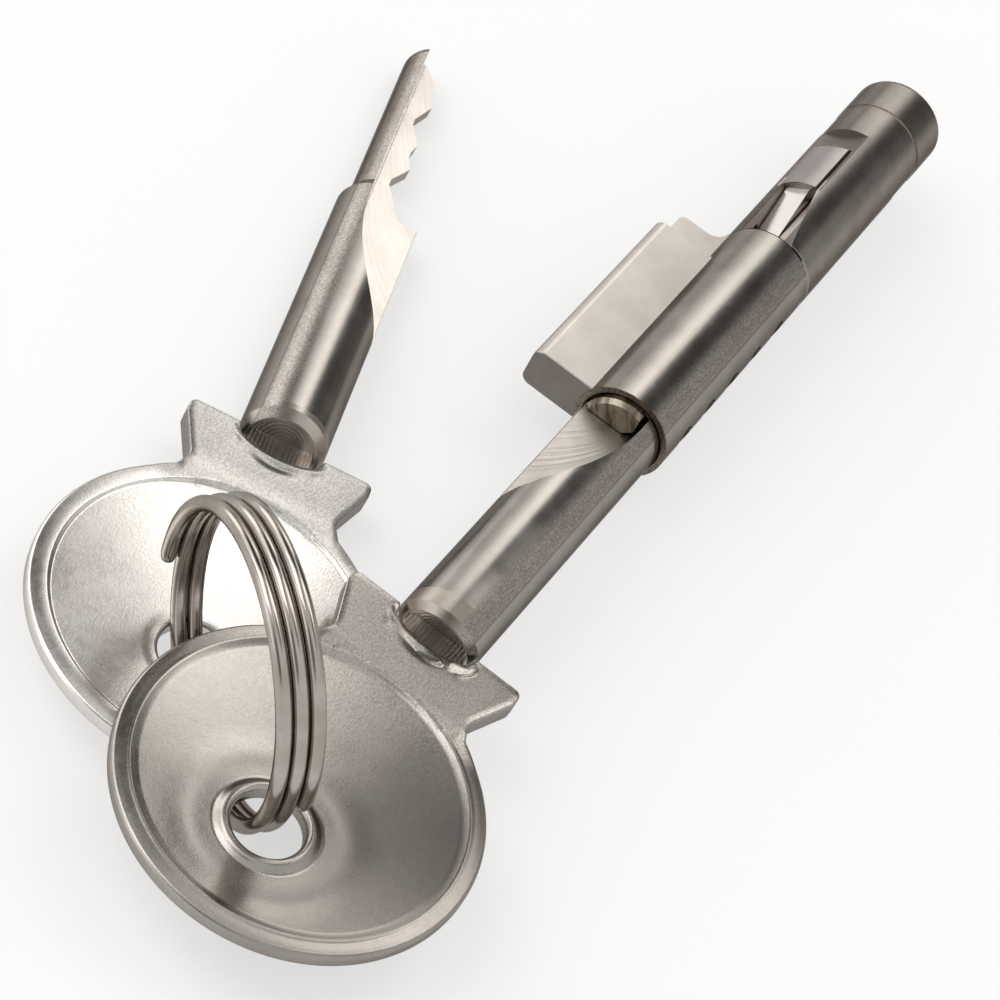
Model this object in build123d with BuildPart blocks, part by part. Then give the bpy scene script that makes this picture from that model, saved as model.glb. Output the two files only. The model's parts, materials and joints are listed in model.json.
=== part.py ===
from build123d import *
import os
from math import cos, hypot, pi, radians, sin, sqrt

# Plug-in pin tumbler lock for a sliding glass cabinet door, with its key, a spare key and a split ring.
# X runs along the lock from the bow of the key (-X) to the round tail (+X), +Y points out of the lug,
# +Z is the dished side of the key's bow. The origin is on the lock's axis at the mouth of the barrel.
# All sizes are in millimetres.

# Barrel and lug
barrel_diameter = 7.0
barrel_length = 21.3
mouth_chamfer = 0.15
lug_reach = 7.7
lug_thickness = 3.3
lug_setback = 3.8
lug_corner = 0.7
lug_bevel = 0.12
ledge_reach = 6.8
ledge_thickness = 2.0
ledge_length = 2.5
ledge_corner = 0.5
ledge_fillet = 1.2

# Plug
plug_diameter = 5.8
plug_clearance = 0.05
plug_nose = 0.6
plug_nose_chamfer = 0.3
block_edge = -0.85
block_chamfer = 0.7

# Pin stacks
first_pin = 3.3
pin_pitch = 3.45
pin_margin = 2.3
pin_diameter = 1.6
chamber_clearance = 0.05
chamber_roof = 1.4
driver_length = 1.5
driver_gap = 0.02
driver_travel = 0.9
spring_wire = 0.25
pin_tip_flat = 0.6
pin_lift = 0.1

# Pin that keeps the plug in the barrel, and the pin that holds the tail in it
retaining_diameter = 0.9
retaining_setback = 0.85
retaining_bite = 0.5
retaining_clearance = 0.06
fixing_diameter = 0.9
fixing_depth = 1.3

# Tail sleeve with its spigot in the barrel
spigot_length = 1.7
tail_length = 22.4
tail_end_radius = 0.5
seam_width = 0.12
seam_depth = 0.3
seam_bevel = 0.08
band_length = 3.5
band_depth = 0.06
end_groove_width = 0.2
end_groove_depth = 0.2
spigot_gap = 0.1
cavity_radius = 2.8
cavity_depth = 2.2
cavity_roof = 1.75
latch_angle = 38.0
flat_height = 2.95
flat_end = 14.7

# Latch: a rocker whose finger lies in the front pocket. Along the tail from the seam, then the height
# above the lock's axis or the distance across
pivot_place = 10.0
pivot_height = 1.9
pivot_diameter = 1.2
pivot_clearance = 0.04
pivot_blind = 0.55
latch_swing = 14.0
latch_flush = 0.05
hub_start = 6.8
hub_reach = 2.61
hub_width = 2.84
hub_floor = 0.9
finger_width = 1.84
finger_start = 0.4
finger_thickness = 1.15
finger_tip_height = 1.9
finger_root_height = 3.3
pocket_gap = 0.13
pocket_floor = 0.72
relief_floor = 2.05
pocket_front_edge = -2.7
pocket_rear_edge = -1.68
foot_start = 1.0
foot_thickness = 0.7
prong_thickness = 0.4
prong_reach = 1.6
fork_clearance = 0.14
drive_pin_diameter = 0.9
drive_pin_bite = 1.4
drive_pin_end = 1.95

# Key shank and blade, from the junction of bow and shank
shank_diameter = 6.0
shank_length = 23.4
mouth_gap = 0.08
blade_diameter = 4.84
blade_beyond = 0.12
cone_length = 1.2
cone_diameter = 5.6
nose_radius = 1.3
keyway_clearance = 0.08
web_thickness = 1.0
web_step = -1.3
web_edge = 1.5
cutter_radius = 17.0
cutter_stop = 22.5
groove_width = 0.3
groove_depth = 0.12
cut_heights = (-0.1, 0.45, -0.2, 0.3, -1.25)
peak_heights = (0.85, 0.67, 0.6, 0.25)
peak_shifts = (0.35, -0.4, 0.5, -0.6)
land_width = 0.6
tang_start = 0.6
tang_end = -5.1
tang_width = 4.4
tang_thickness = 0.7
end_place = -0.95
end_tilt = 10.0
end_bevel = 0.5
end_lip = 0.08
end_rings = 5
end_ring_step = 0.11
end_ring_drop = 0.1
seat_place = -2.25
seat_radius = 6.0
seat_half = 2.8

# Key bow
bow_radius = 11.95
bow_centre = -16.75
rim_thickness = 1.7
rim_width = 1.9
rim_round = 0.6
sheet_back = 0.55
dish_middle = 0.0
dish_edge = 0.4
bow_hole_place = -20.26
bow_hole_diameter = 4.7
collar_diameter = 6.9
collar_top = 0.55
neck_thickness = 1.6
neck_front = -0.75
horn_reach = 6.5
horn_back = -1.9
horn_round = 0.45
waist_place = -5.35
waist_half = 5.15
waist_round = 1.1
neck_end = -7.6
neck_end_half = 6.3

# Split ring
ring_radius = 9.573
wire_diameter = 1.0
ring_pitch = 1.04
ring_start = -6.0
ring_end = 913.6
ring_zero = 400.0
ring_centre = (-39.336, 6.957, 5.231)
ring_axis = (0.7766, -0.6240, 0.0867)

# Spare key: centre of its bow hole, the way its shank points and the way its dished face looks
spare_hole = (-35.561, 10.637, -2.255)
spare_axis = (0.9581, 0.2846, -0.0320)
spare_normal = (-0.0417, 0.0282, -0.9987)

# Worked out from the sizes above
barrel_radius = barrel_diameter / 2
plug_radius = plug_diameter / 2
bore_radius = plug_radius + plug_clearance
pin_radius = pin_diameter / 2
chamber_radius = pin_radius + chamber_clearance
chamber_top = lug_reach - chamber_roof
lug_length = barrel_length - lug_setback
plug_length = barrel_length - spigot_length
retaining_place = plug_length - retaining_setback
fixing_place = barrel_length - (spigot_length - spigot_gap) / 2
pin_count = 1 + int((plug_length - pin_margin - first_pin) / pin_pitch)
pin_places = [first_pin + pin_pitch * i for i in range(pin_count)]
shank_radius = shank_diameter / 2
blade_radius = blade_diameter / 2
keyway_radius = blade_radius + keyway_clearance
blade_length = mouth_gap + pin_places[-1] + blade_beyond
web_half = web_thickness / 2
slot_half = web_half + keyway_clearance
key_start = -shank_length - mouth_gap
ledge_stop = lug_length + ledge_length
far = barrel_diameter * 2
cuts = [cut_heights[i % len(cut_heights)] for i in range(pin_count)]
peaks = [peak_heights[i % len(peak_heights)] for i in range(pin_count - 1)]
shifts = [peak_shifts[i % len(peak_shifts)] for i in range(pin_count - 1)]

# The drive pin is carried a quarter turn, which lifts the fork by twice the pin's first drop
fork_place = foot_start + foot_thickness / 2
fork_arm = pivot_place - fork_place
swing_sine = sin(radians(latch_swing))
swing_loss = 1 - cos(radians(latch_swing))
drive_drop = (fork_arm * swing_sine + pivot_height * swing_loss) / (2 - swing_loss)
drive_reach = drive_drop * sqrt(2) + drive_pin_diameter / 2
spigot_inner = drive_reach + retaining_clearance * 2

# Planes of the latch: X along the tail from the seam, Z up through the latch, and its side view
latch_up = (0, sin(radians(latch_angle)), cos(radians(latch_angle)))
latch_across = (0, cos(radians(latch_angle)), -sin(radians(latch_angle)))
seam = (barrel_length, 0, 0)
latch_top = Plane(origin=seam, x_dir=(1, 0, 0), z_dir=latch_up)
latch_side = Plane(origin=seam, x_dir=(1, 0, 0), z_dir=[-c for c in latch_across])
latch_front = Plane(origin=seam, x_dir=latch_across, z_dir=(1, 0, 0))

os.makedirs("parts", exist_ok=True)


def save(part, name):
    """Label the finished solid and write it to its own file."""
    part.label = name
    export_step(part, f"parts/{name}.step")


# Housing: round barrel, lug, ledge behind the lug, bore, and the chambers drilled through from below
with BuildPart() as housing:
    with BuildSketch(Plane.YZ) as lug_profile:
        Rectangle(lug_reach, lug_thickness, align=(Align.MIN, Align.CENTER))
        fillet(lug_profile.vertices().group_by(Axis.X)[-1], lug_corner)
    extrude(amount=lug_length)
    chamfer(housing.faces().sort_by(Axis.X)[0].edges(), lug_bevel)
    with BuildSketch(Plane.YZ):
        Circle(barrel_radius)
    extrude(amount=barrel_length)
    with BuildSketch(Plane.XY):
        with BuildLine():
            Polyline(
                (ledge_stop + ledge_fillet, barrel_radius),
                (ledge_stop + ledge_fillet, 0),
                (lug_length - lug_corner, 0),
                (lug_length - lug_corner, ledge_reach),
                (ledge_stop - ledge_corner, ledge_reach),
            )
            RadiusArc(
                (ledge_stop - ledge_corner, ledge_reach),
                (ledge_stop, ledge_reach - ledge_corner),
                ledge_corner,
            )
            Line((ledge_stop, ledge_reach - ledge_corner), (ledge_stop, barrel_radius + ledge_fillet))
            RadiusArc(
                (ledge_stop, barrel_radius + ledge_fillet),
                (ledge_stop + ledge_fillet, barrel_radius),
                -ledge_fillet,
            )
        make_face()
    extrude(amount=ledge_thickness / 2, both=True)
    with BuildSketch(Plane.YZ):
        Circle(bore_radius)
    extrude(amount=barrel_length, mode=Mode.SUBTRACT)
    with BuildSketch(Plane.XZ.offset(barrel_radius)):
        with Locations([(x, 0) for x in pin_places]):
            Circle(chamber_radius)
    extrude(amount=-(chamber_top + barrel_radius), mode=Mode.SUBTRACT)
    retaining_height = plug_radius - retaining_bite + retaining_diameter / 2
    with BuildSketch(Plane.XZ):
        with Locations((retaining_place, -retaining_height)):
            Circle(retaining_diameter / 2)
    extrude(amount=barrel_radius, both=True, mode=Mode.SUBTRACT)
    with BuildSketch(Plane.XZ):
        with Locations((fixing_place, 0)):
            Circle(fixing_diameter / 2)
    extrude(amount=barrel_radius, mode=Mode.SUBTRACT)
    mouth = housing.edges().filter_by(GeomType.CIRCLE).group_by(Axis.X)[0]
    chamfer(mouth.filter_by(lambda e: abs(e.radius - bore_radius) < 0.01), mouth_chamfer)
save(housing.part, "housing")

# Pins of the housing: the one that keeps the plug in, cut round to the barrel, and the tail's fixing pin
with BuildPart() as plug_retaining_pin:
    with BuildSketch(Plane.XZ):
        with Locations((retaining_place, -retaining_height)):
            Circle(retaining_diameter / 2)
    extrude(amount=barrel_radius, both=True)
    with BuildSketch(Plane.YZ):
        Circle(barrel_radius)
    extrude(amount=barrel_length, mode=Mode.INTERSECT)
save(plug_retaining_pin.part, "plug_retaining_pin")

with BuildPart() as tail_fixing_pin:
    with BuildSketch(Plane.XZ.offset(barrel_radius - fixing_depth)):
        with Locations((fixing_place, 0)):
            Circle(fixing_diameter / 2)
    extrude(amount=fixing_depth)
    with BuildSketch(Plane.YZ):
        Circle(barrel_radius)
    extrude(amount=barrel_length, mode=Mode.INTERSECT)
save(tail_fixing_pin.part, "tail_fixing_pin")

# Plug: keyway with a block over each flat of the key, the key pins' chambers and the groove at the rear
with BuildPart() as plug:
    with BuildSketch(Plane.YZ):
        Circle(plug_radius)
    extrude(amount=plug_length)
    with BuildSketch(Plane.YZ):
        Circle(keyway_radius)
    extrude(amount=blade_length + keyway_clearance * 2, mode=Mode.SUBTRACT)
    with BuildSketch(Plane.XY):
        with BuildLine():
            Polyline(
                (0, 0),
                (0, cone_diameter / 2 + keyway_clearance),
                (cone_length, keyway_radius),
                (cone_length, 0),
                close=True,
            )
        make_face()
    revolve(axis=Axis.X, mode=Mode.SUBTRACT)
    # the two blocks, their inner corners bevelled along the keyway and their front rims chamfered
    with BuildSketch(Plane.YZ.offset(-plug_nose)):
        for side in (1, -1):
            with BuildLine():
                Polyline(
                    (block_edge + block_chamfer, side * slot_half),
                    (block_edge, side * (slot_half + block_chamfer)),
                    (block_edge, side * sqrt(plug_radius**2 - block_edge**2)),
                )
                RadiusArc(
                    (block_edge, side * sqrt(plug_radius**2 - block_edge**2)),
                    (sqrt(plug_radius**2 - slot_half**2), side * slot_half),
                    side * plug_radius,
                )
                Line(
                    (sqrt(plug_radius**2 - slot_half**2), side * slot_half),
                    (block_edge + block_chamfer, side * slot_half),
                )
            make_face()
    extrude(amount=plug_nose + blade_length + keyway_clearance * 2)
    nose_rims = plug.edges().filter_by(GeomType.CIRCLE).group_by(Axis.X)[0]
    chamfer(nose_rims, plug_nose_chamfer)
    with BuildSketch(Plane.XZ.offset(-web_step)):
        with Locations([(x, 0) for x in pin_places]):
            Circle(chamber_radius)
    extrude(amount=-plug_radius * 2, mode=Mode.SUBTRACT)
    groove_half = retaining_diameter / 2 + retaining_clearance
    groove_floor = plug_radius - retaining_bite - retaining_clearance
    with BuildSketch(Plane.YZ.offset(retaining_place - groove_half)):
        Circle(barrel_radius)
        Circle(groove_floor, mode=Mode.SUBTRACT)
    extrude(amount=groove_half * 2, mode=Mode.SUBTRACT)
    with BuildSketch(Plane.YZ.offset(plug_length)):
        with Locations((
            drive_drop * (latch_across[1] - latch_up[1]),
            drive_drop * (latch_across[2] - latch_up[2]),
        )):
            Circle(drive_pin_diameter / 2)
    extrude(amount=-drive_pin_bite, mode=Mode.SUBTRACT)
save(plug.part, "plug")

# Drive pin: stands off the plug's axis at its rear end and works in the latch's fork
with BuildPart() as drive_pin:
    with BuildSketch(Plane.YZ.offset(plug_length - drive_pin_bite)):
        with Locations((
            drive_drop * (latch_across[1] - latch_up[1]),
            drive_drop * (latch_across[2] - latch_up[2]),
        )):
            Circle(drive_pin_diameter / 2)
    extrude(amount=barrel_length + drive_pin_end - plug_length + drive_pin_bite)
save(drive_pin.part, "drive_pin")

# Pin stacks: key pin with a coned tip in the plug, driver and spring above it in the lug
key_pin_top = sqrt(plug_radius**2 - pin_radius**2) - driver_gap
driver_bottom = bore_radius + driver_gap
driver_top = driver_bottom + driver_length
for i in range(pin_count):
    highest = max(cuts[i:] + peaks[i:])
    tip = highest + pin_lift
    cone_rise = (pin_diameter - pin_tip_flat) / 2
    with BuildPart() as key_pin:
        x = pin_places[i]
        with BuildSketch(Plane.XY):
            with BuildLine():
                Polyline(
                    (x, tip),
                    (x + pin_tip_flat / 2, tip),
                    (x + pin_radius, tip + cone_rise),
                    (x + pin_radius, key_pin_top),
                    (x, key_pin_top),
                    close=True,
                )
            make_face()
        revolve(axis=Axis((x, 0, 0), (0, 1, 0)))
    save(key_pin.part, f"key_pin_{i + 1}")
    with BuildPart() as driver_pin:
        with BuildSketch(Plane.XZ.offset(-driver_bottom)):
            with Locations((pin_places[i], 0)):
                Circle(pin_radius)
        extrude(amount=-driver_length)
    save(driver_pin.part, f"driver_pin_{i + 1}")
    with BuildPart() as pin_spring:
        with BuildSketch(Plane.XZ.offset(-driver_top - driver_gap)):
            with Locations((pin_places[i], 0)):
                Circle(pin_radius)
                Circle(pin_radius - spring_wire, mode=Mode.SUBTRACT)
        extrude(amount=-(chamber_top - driver_top - driver_gap))
    save(pin_spring.part, f"pin_spring_{i + 1}")

# Tail sleeve: spigot into the barrel, round body, flat round the latch, and the latch's pocket
with BuildPart() as tail_sleeve:
    with BuildSketch(Plane.YZ.offset(barrel_length)):
        Circle(barrel_radius)
    extrude(amount=tail_length)
    fillet(tail_sleeve.edges().filter_by(GeomType.CIRCLE).sort_by(Axis.X)[-1], tail_end_radius)
    # narrow groove at the seam, bevelled on the tail's side, and the shallow band behind the flat with
    # the groove that ends it
    for place, width, depth in (
        (0, seam_width, seam_depth),
        (flat_end, band_length, band_depth),
        (flat_end + band_length, end_groove_width, end_groove_depth),
    ):
        with BuildSketch(Plane.YZ.offset(barrel_length + place)):
            Circle(barrel_diameter)
            Circle(barrel_radius - depth, mode=Mode.SUBTRACT)
        extrude(amount=width, mode=Mode.SUBTRACT)
    rims = tail_sleeve.edges().filter_by(GeomType.CIRCLE)
    outside = rims.filter_by(lambda e: abs(e.radius - barrel_radius) < 0.01)
    chamfer(outside.sort_by(Axis.X)[0], seam_bevel)
    with BuildSketch(Plane.YZ.offset(plug_length + spigot_gap)):
        Circle(bore_radius)
    extrude(amount=barrel_length - plug_length)
    with BuildSketch(Plane.YZ.offset(plug_length)):
        Circle(spigot_inner)
    extrude(amount=barrel_length - plug_length, mode=Mode.SUBTRACT)
    hub_half = hub_width / 2 + pocket_gap
    finger_side = finger_width / 2 + pocket_gap
    hub_front = hub_start - pocket_gap * 2
    # round cavity behind the plug, roofed beside the finger
    with BuildSketch(latch_front):
        Circle(cavity_radius)
        with Locations((-finger_side, cavity_roof)):
            Rectangle(far, far, align=(Align.MAX, Align.MIN), mode=Mode.SUBTRACT)
    extrude(amount=cavity_depth, mode=Mode.SUBTRACT)
    # shallow relief beside the finger, tapering towards the hub
    with BuildSketch(latch_top.offset(relief_floor)):
        with BuildLine():
            Polyline(
                (0, pocket_front_edge),
                (hub_front, pocket_rear_edge),
                (hub_front, 0),
                (0, 0),
                close=True,
            )
        make_face()
    extrude(amount=far, mode=Mode.SUBTRACT)
    # deep slots for the finger and for the hub
    with BuildSketch(latch_top.offset(pocket_floor)):
        with Locations((hub_front / 2, 0)):
            Rectangle(hub_front, finger_side * 2)
        with Locations(((hub_front + pivot_place) / 2, 0)):
            Rectangle(pivot_place - hub_front, hub_half * 2)
    extrude(amount=far, mode=Mode.SUBTRACT)
    with BuildSketch(latch_side):
        with Locations((pivot_place, pivot_height)):
            Circle(hub_reach + pocket_gap)
    extrude(amount=hub_half, both=True, mode=Mode.SUBTRACT)
    with BuildSketch(latch_top.offset(flat_height)):
        with Locations(((hub_front + flat_end) / 2, 0)):
            Rectangle(flat_end - hub_front, far)
    extrude(amount=far, mode=Mode.SUBTRACT)
    pivot_side = sqrt(barrel_radius**2 - pivot_height**2)
    with BuildSketch(latch_side.offset(pivot_side - pivot_blind)):
        with Locations((pivot_place, pivot_height)):
            Circle(pivot_diameter / 2)
    extrude(amount=-far, mode=Mode.SUBTRACT)
    with BuildSketch(Plane.XZ.offset(barrel_radius - fixing_depth)):
        with Locations((fixing_place, 0)):
            Circle(fixing_diameter / 2)
    extrude(amount=fixing_depth, mode=Mode.SUBTRACT)
save(tail_sleeve.part, "tail_sleeve")

# Pivot pin of the latch, blind on the side seen with the key's dished face, cut round to the tail
with BuildPart() as latch_pivot_pin:
    with BuildSketch(latch_side.offset(pivot_side - pivot_blind)):
        with Locations((pivot_place, pivot_height)):
            Circle(pivot_diameter / 2)
    extrude(amount=-far)
    with BuildSketch(Plane.YZ.offset(barrel_length)):
        Circle(barrel_radius)
    extrude(amount=tail_length, mode=Mode.INTERSECT)
save(latch_pivot_pin.part, "latch_pivot_pin")

# Latch: hub round the pivot pin, finger dipping towards the seam, and the foot with its fork
with BuildPart() as latch:
    hub_low = pivot_height - hub_floor
    rear_low = pivot_place + sqrt(hub_reach**2 - hub_low**2)
    with BuildSketch(latch_side):
        with BuildLine():
            Polyline(
                (pivot_place, pivot_height + hub_reach),
                (hub_start, pivot_height + hub_reach),
                (hub_start, hub_floor),
                (rear_low, hub_floor),
            )
            ThreePointArc(
                (rear_low, hub_floor),
                (pivot_place + hub_reach, pivot_height),
                (pivot_place, pivot_height + hub_reach),
            )
        make_face()
    extrude(amount=hub_width / 2, both=True)
    with BuildSketch(latch_side):
        with BuildLine():
            Polyline(
                (finger_start, finger_tip_height),
                (hub_start + hub_reach, finger_root_height),
                (hub_start + hub_reach, finger_root_height - finger_thickness),
                (hub_start, finger_root_height - finger_thickness),
                (finger_start, finger_tip_height - finger_thickness),
                close=True,
            )
        make_face()
    extrude(amount=finger_width / 2, both=True)
    slot_top = -drive_drop + drive_pin_diameter / 2 + fork_clearance
    slot_bottom = -drive_drop - drive_pin_diameter / 2 - fork_clearance
    slot_end = drive_drop - drive_pin_diameter / 2 - fork_clearance
    with BuildSketch(latch_front.offset(foot_start)):
        with BuildLine():
            Polyline(
                (-finger_width / 2, finger_tip_height - finger_thickness / 2),
                (-finger_width / 2, slot_bottom - prong_thickness),
                (prong_reach, slot_bottom - prong_thickness),
                (prong_reach, slot_bottom),
                (slot_end, slot_bottom),
                (slot_end, slot_top),
                (prong_reach, slot_top),
                (prong_reach, slot_top + prong_thickness),
                (finger_width / 2, slot_top + prong_thickness),
                (finger_width / 2, finger_tip_height - finger_thickness / 2),
                close=True,
            )
        make_face()
    extrude(amount=foot_thickness)
    with BuildSketch(latch_side):
        with Locations((pivot_place, pivot_height)):
            Circle(pivot_diameter / 2 + pivot_clearance)
    extrude(amount=hub_width, both=True, mode=Mode.SUBTRACT)
    with BuildSketch(Plane.YZ.offset(barrel_length)):
        Circle(barrel_radius - latch_flush)
    extrude(amount=tail_length, mode=Mode.INTERSECT)
save(latch.part, "latch")

# Key shank and blade, drawn from the junction of bow and shank
blade_stop = shank_length + blade_length
end_start = shank_radius
end_normal = (-cos(radians(end_tilt)), 0, -sin(radians(end_tilt)))
end_plane = Plane(origin=(end_place, 0, 0), x_dir=(0, 1, 0), z_dir=end_normal)
pin_cuts = [x - key_start for x in pin_places]
with BuildPart() as shank:
    with BuildSketch(Plane.XY):
        with BuildLine():
            Polyline(
                (-end_start, 0),
                (-end_start, shank_radius),
                (shank_length, shank_radius),
                (shank_length, cone_diameter / 2),
                (shank_length + cone_length, blade_radius),
                (blade_stop - nose_radius, blade_radius),
            )
            RadiusArc(
                (blade_stop - nose_radius, blade_radius),
                (blade_stop, blade_radius - nose_radius),
                nose_radius,
            )
            Polyline(
                (blade_stop, blade_radius - nose_radius),
                (blade_stop, 0),
                (-end_start, 0),
            )
        make_face()
    revolve(axis=Axis.X)
    # end towards the bow, bevelled outside and turned hollow in fine rings inside
    with BuildSketch(end_plane):
        Rectangle(far, far)
    extrude(amount=end_start * 2, mode=Mode.SUBTRACT)
    chamfer(shank.faces().sort_by(Axis.X)[0].outer_wire().edges(), end_bevel)
    for i in range(end_rings):
        with BuildSketch(end_plane.offset(-end_ring_drop * (i + 1))):
            Circle(shank_radius - end_bevel - end_lip - end_ring_step * i)
        extrude(amount=end_ring_drop, mode=Mode.SUBTRACT)
    # tang that stands in the bow
    with BuildSketch(Plane.XY):
        with Locations(((tang_start + tang_end) / 2, 0)):
            Rectangle(tang_start - tang_end, tang_width)
    extrude(amount=tang_thickness / 2, both=True)
    # flats milled on both faces, with the cutter's run-out on the shank
    for side in (Plane.XY.offset(web_half), Plane.XY.offset(-web_half - far)):
        with BuildSketch(side):
            with Locations((cutter_stop, web_step + cutter_radius)):
                Circle(cutter_radius)
                Rectangle(far * 2, cutter_radius * 2, align=(Align.MIN, Align.CENTER))
        extrude(amount=far, mode=Mode.SUBTRACT)
    for side in (web_half - groove_depth, -web_half):
        with BuildSketch(Plane.XY.offset(side)):
            with Locations((cutter_stop, web_step)):
                Rectangle(far * 2, groove_width, align=(Align.MIN, Align.MIN))
        extrude(amount=groove_depth, mode=Mode.SUBTRACT)
    # the cuts for the pins
    with BuildSketch(Plane.XY.offset(-shank_radius)):
        with BuildLine():
            outline = [(shank_length, shank_radius), (shank_length, web_edge)]
            for i in range(pin_count):
                outline.append((pin_cuts[i] - land_width / 2, cuts[i]))
                outline.append((pin_cuts[i] + land_width / 2, cuts[i]))
                if i < pin_count - 1:
                    middle = (pin_cuts[i] + pin_cuts[i + 1]) / 2
                    outline.append((middle + shifts[i], peaks[i]))
            outline.append((blade_stop + nose_radius, cuts[-1]))
            outline.append((blade_stop + nose_radius, shank_radius))
            Polyline(*outline, close=True)
        make_face()
    extrude(amount=shank_diameter, mode=Mode.SUBTRACT)

# Key bow: dished disc with a rim bead, a collar round the hole, and the neck with its two horns
with BuildPart() as bow:
    rim_outside = bow_centre + bow_radius
    rim_inside = rim_outside - rim_width
    with BuildSketch(Plane.XZ) as bow_profile:
        with BuildLine():
            Polyline(
                (bow_centre, -sheet_back),
                (rim_inside, -sheet_back),
                (rim_inside + 0.3, -rim_thickness / 2),
                (rim_outside, -rim_thickness / 2),
                (rim_outside, rim_thickness / 2),
                (rim_inside + 0.3, rim_thickness / 2),
                (rim_inside, dish_edge),
            )
            ThreePointArc(
                (rim_inside, dish_edge),
                ((rim_inside + bow_centre) / 2, dish_middle + (dish_edge - dish_middle) * 0.3),
                (bow_centre, dish_middle),
            )
            Line((bow_centre, dish_middle), (bow_centre, -sheet_back))
        make_face()
        outer = bow_profile.vertices().group_by(Axis.X)[-1]
        fillet(outer, rim_round)
    revolve(axis=Axis((bow_centre, 0, 0), (0, 0, 1)))
    with BuildSketch(Plane.XY) as neck_outline:
        half = [
            (neck_end, neck_end_half),
            (waist_place, waist_half),
            (horn_back, horn_reach),
            (neck_front, horn_reach),
        ]
        with BuildLine():
            Polyline(*half, *[(x, -y) for x, y in reversed(half)], close=True)
        make_face()
        corners = neck_outline.vertices()
        fillet(corners.filter_by(lambda v: v.X > horn_back - 0.01), horn_round)
        fillet(corners.filter_by(lambda v: abs(v.X - waist_place) < 0.01), waist_round)
        with Locations((bow_centre, 0)):
            Circle(bow_radius - rim_width / 2, mode=Mode.SUBTRACT)
    extrude(amount=neck_thickness / 2, both=True)
    with BuildSketch(Plane.XY.offset(-sheet_back)):
        with Locations((bow_hole_place, 0)):
            Circle(collar_diameter / 2)
    extrude(amount=sheet_back + collar_top)
    with BuildSketch(Plane.XY.offset(-rim_thickness)):
        with Locations((bow_hole_place, 0)):
            Circle(bow_hole_diameter / 2)
    extrude(amount=rim_thickness * 2, mode=Mode.SUBTRACT)
    # seat for the shank's end, hollowed towards the middle, and the slot for its tang
    with BuildSketch(Plane.XY):
        with Locations((seat_place + seat_radius, 0)):
            Circle(seat_radius)
            Rectangle(seat_radius * 2, seat_half * 2, mode=Mode.INTERSECT)
    extrude(amount=neck_thickness, both=True, mode=Mode.SUBTRACT)
    with BuildSketch(Plane.XY):
        with Locations(((tang_start + tang_end) / 2, 0)):
            Rectangle(tang_start - tang_end, tang_width)
    extrude(amount=tang_thickness / 2, both=True, mode=Mode.SUBTRACT)

# The key in the lock, and the spare key lying beside it with its other face up
key_place = Location((key_start, 0, 0))
spare_origin = Vector(*spare_hole) - Vector(*spare_axis) * bow_hole_place
spare_place = Plane(origin=spare_origin, x_dir=spare_axis, z_dir=spare_normal).location
save(key_place * shank.part, "key_shank")
save(key_place * bow.part, "key_bow")
save(spare_place * shank.part, "spare_key_shank")
save(spare_place * bow.part, "spare_key_bow")

# Split ring: one unbroken wire wound on a helix, its radius and pitch constant
axis_vector = Vector(*ring_axis).normalized()
level = axis_vector.cross(Vector(0, 0, 1)).normalized()
upward = level.cross(axis_vector)
start_angle = radians(ring_start)
start_height = ring_pitch * (ring_zero - ring_start) / 360
turns = (ring_end - ring_start) / 360
ring_plane = Plane(
    origin=Vector(*ring_centre) + axis_vector * start_height,
    x_dir=level * cos(start_angle) + upward * sin(start_angle),
    z_dir=axis_vector * -1,
)
with BuildPart() as split_ring:
    with BuildLine() as ring_path:
        Helix(pitch=ring_pitch, height=ring_pitch * turns, radius=ring_radius)
    with BuildSketch(Plane(origin=ring_path.line @ 0, z_dir=ring_path.line % 0)):
        Circle(wire_diameter / 2)
    sweep(path=ring_path.line)
save(ring_plane.location * split_ring.part, "split_ring")

# Least gap of the ring's wire to itself, between points of the helix more than half a turn apart
steps = 720
least = ring_radius
for a in range(steps):
    for b in range(a + 1, steps):
        turned = 2 * pi * turns * (b - a) / steps
        if turned > pi:
            chord = 2 * ring_radius * sin(turned / 2)
            climb = ring_pitch * turned / (2 * pi)
            least = min(least, hypot(chord, climb) - wire_diameter)
print(f"least gap of the split ring's wire to itself {least:.3f} mm, turns {turns:.2f}")
print(f"drive pin {drive_drop * sqrt(2):.3f} mm off the axis, spigot bore radius {spigot_inner:.3f} mm")
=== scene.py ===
"""Dress the plug-in lock for a sliding glass cabinet door, its two keys and their split ring.

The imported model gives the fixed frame. Each sub-assembly is a class that builds the surfaces a finer
mesh serves better, and gives every solid it keeps a finish of its own. Lengths are in metres in the
frame of the solids: X along the lock towards the tail, Y out of the lug, Z on the side of the key's
dished face, origin on the lock's axis at the mouth of the barrel.
"""

import json
import logging
import math
from dataclasses import dataclass, field
from enum import Enum
from functools import partial, reduce
from typing import Callable, Dict, List, Optional, Sequence, Tuple, Union

import bpy
import numpy as np
from mathutils import Matrix, Vector

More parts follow.
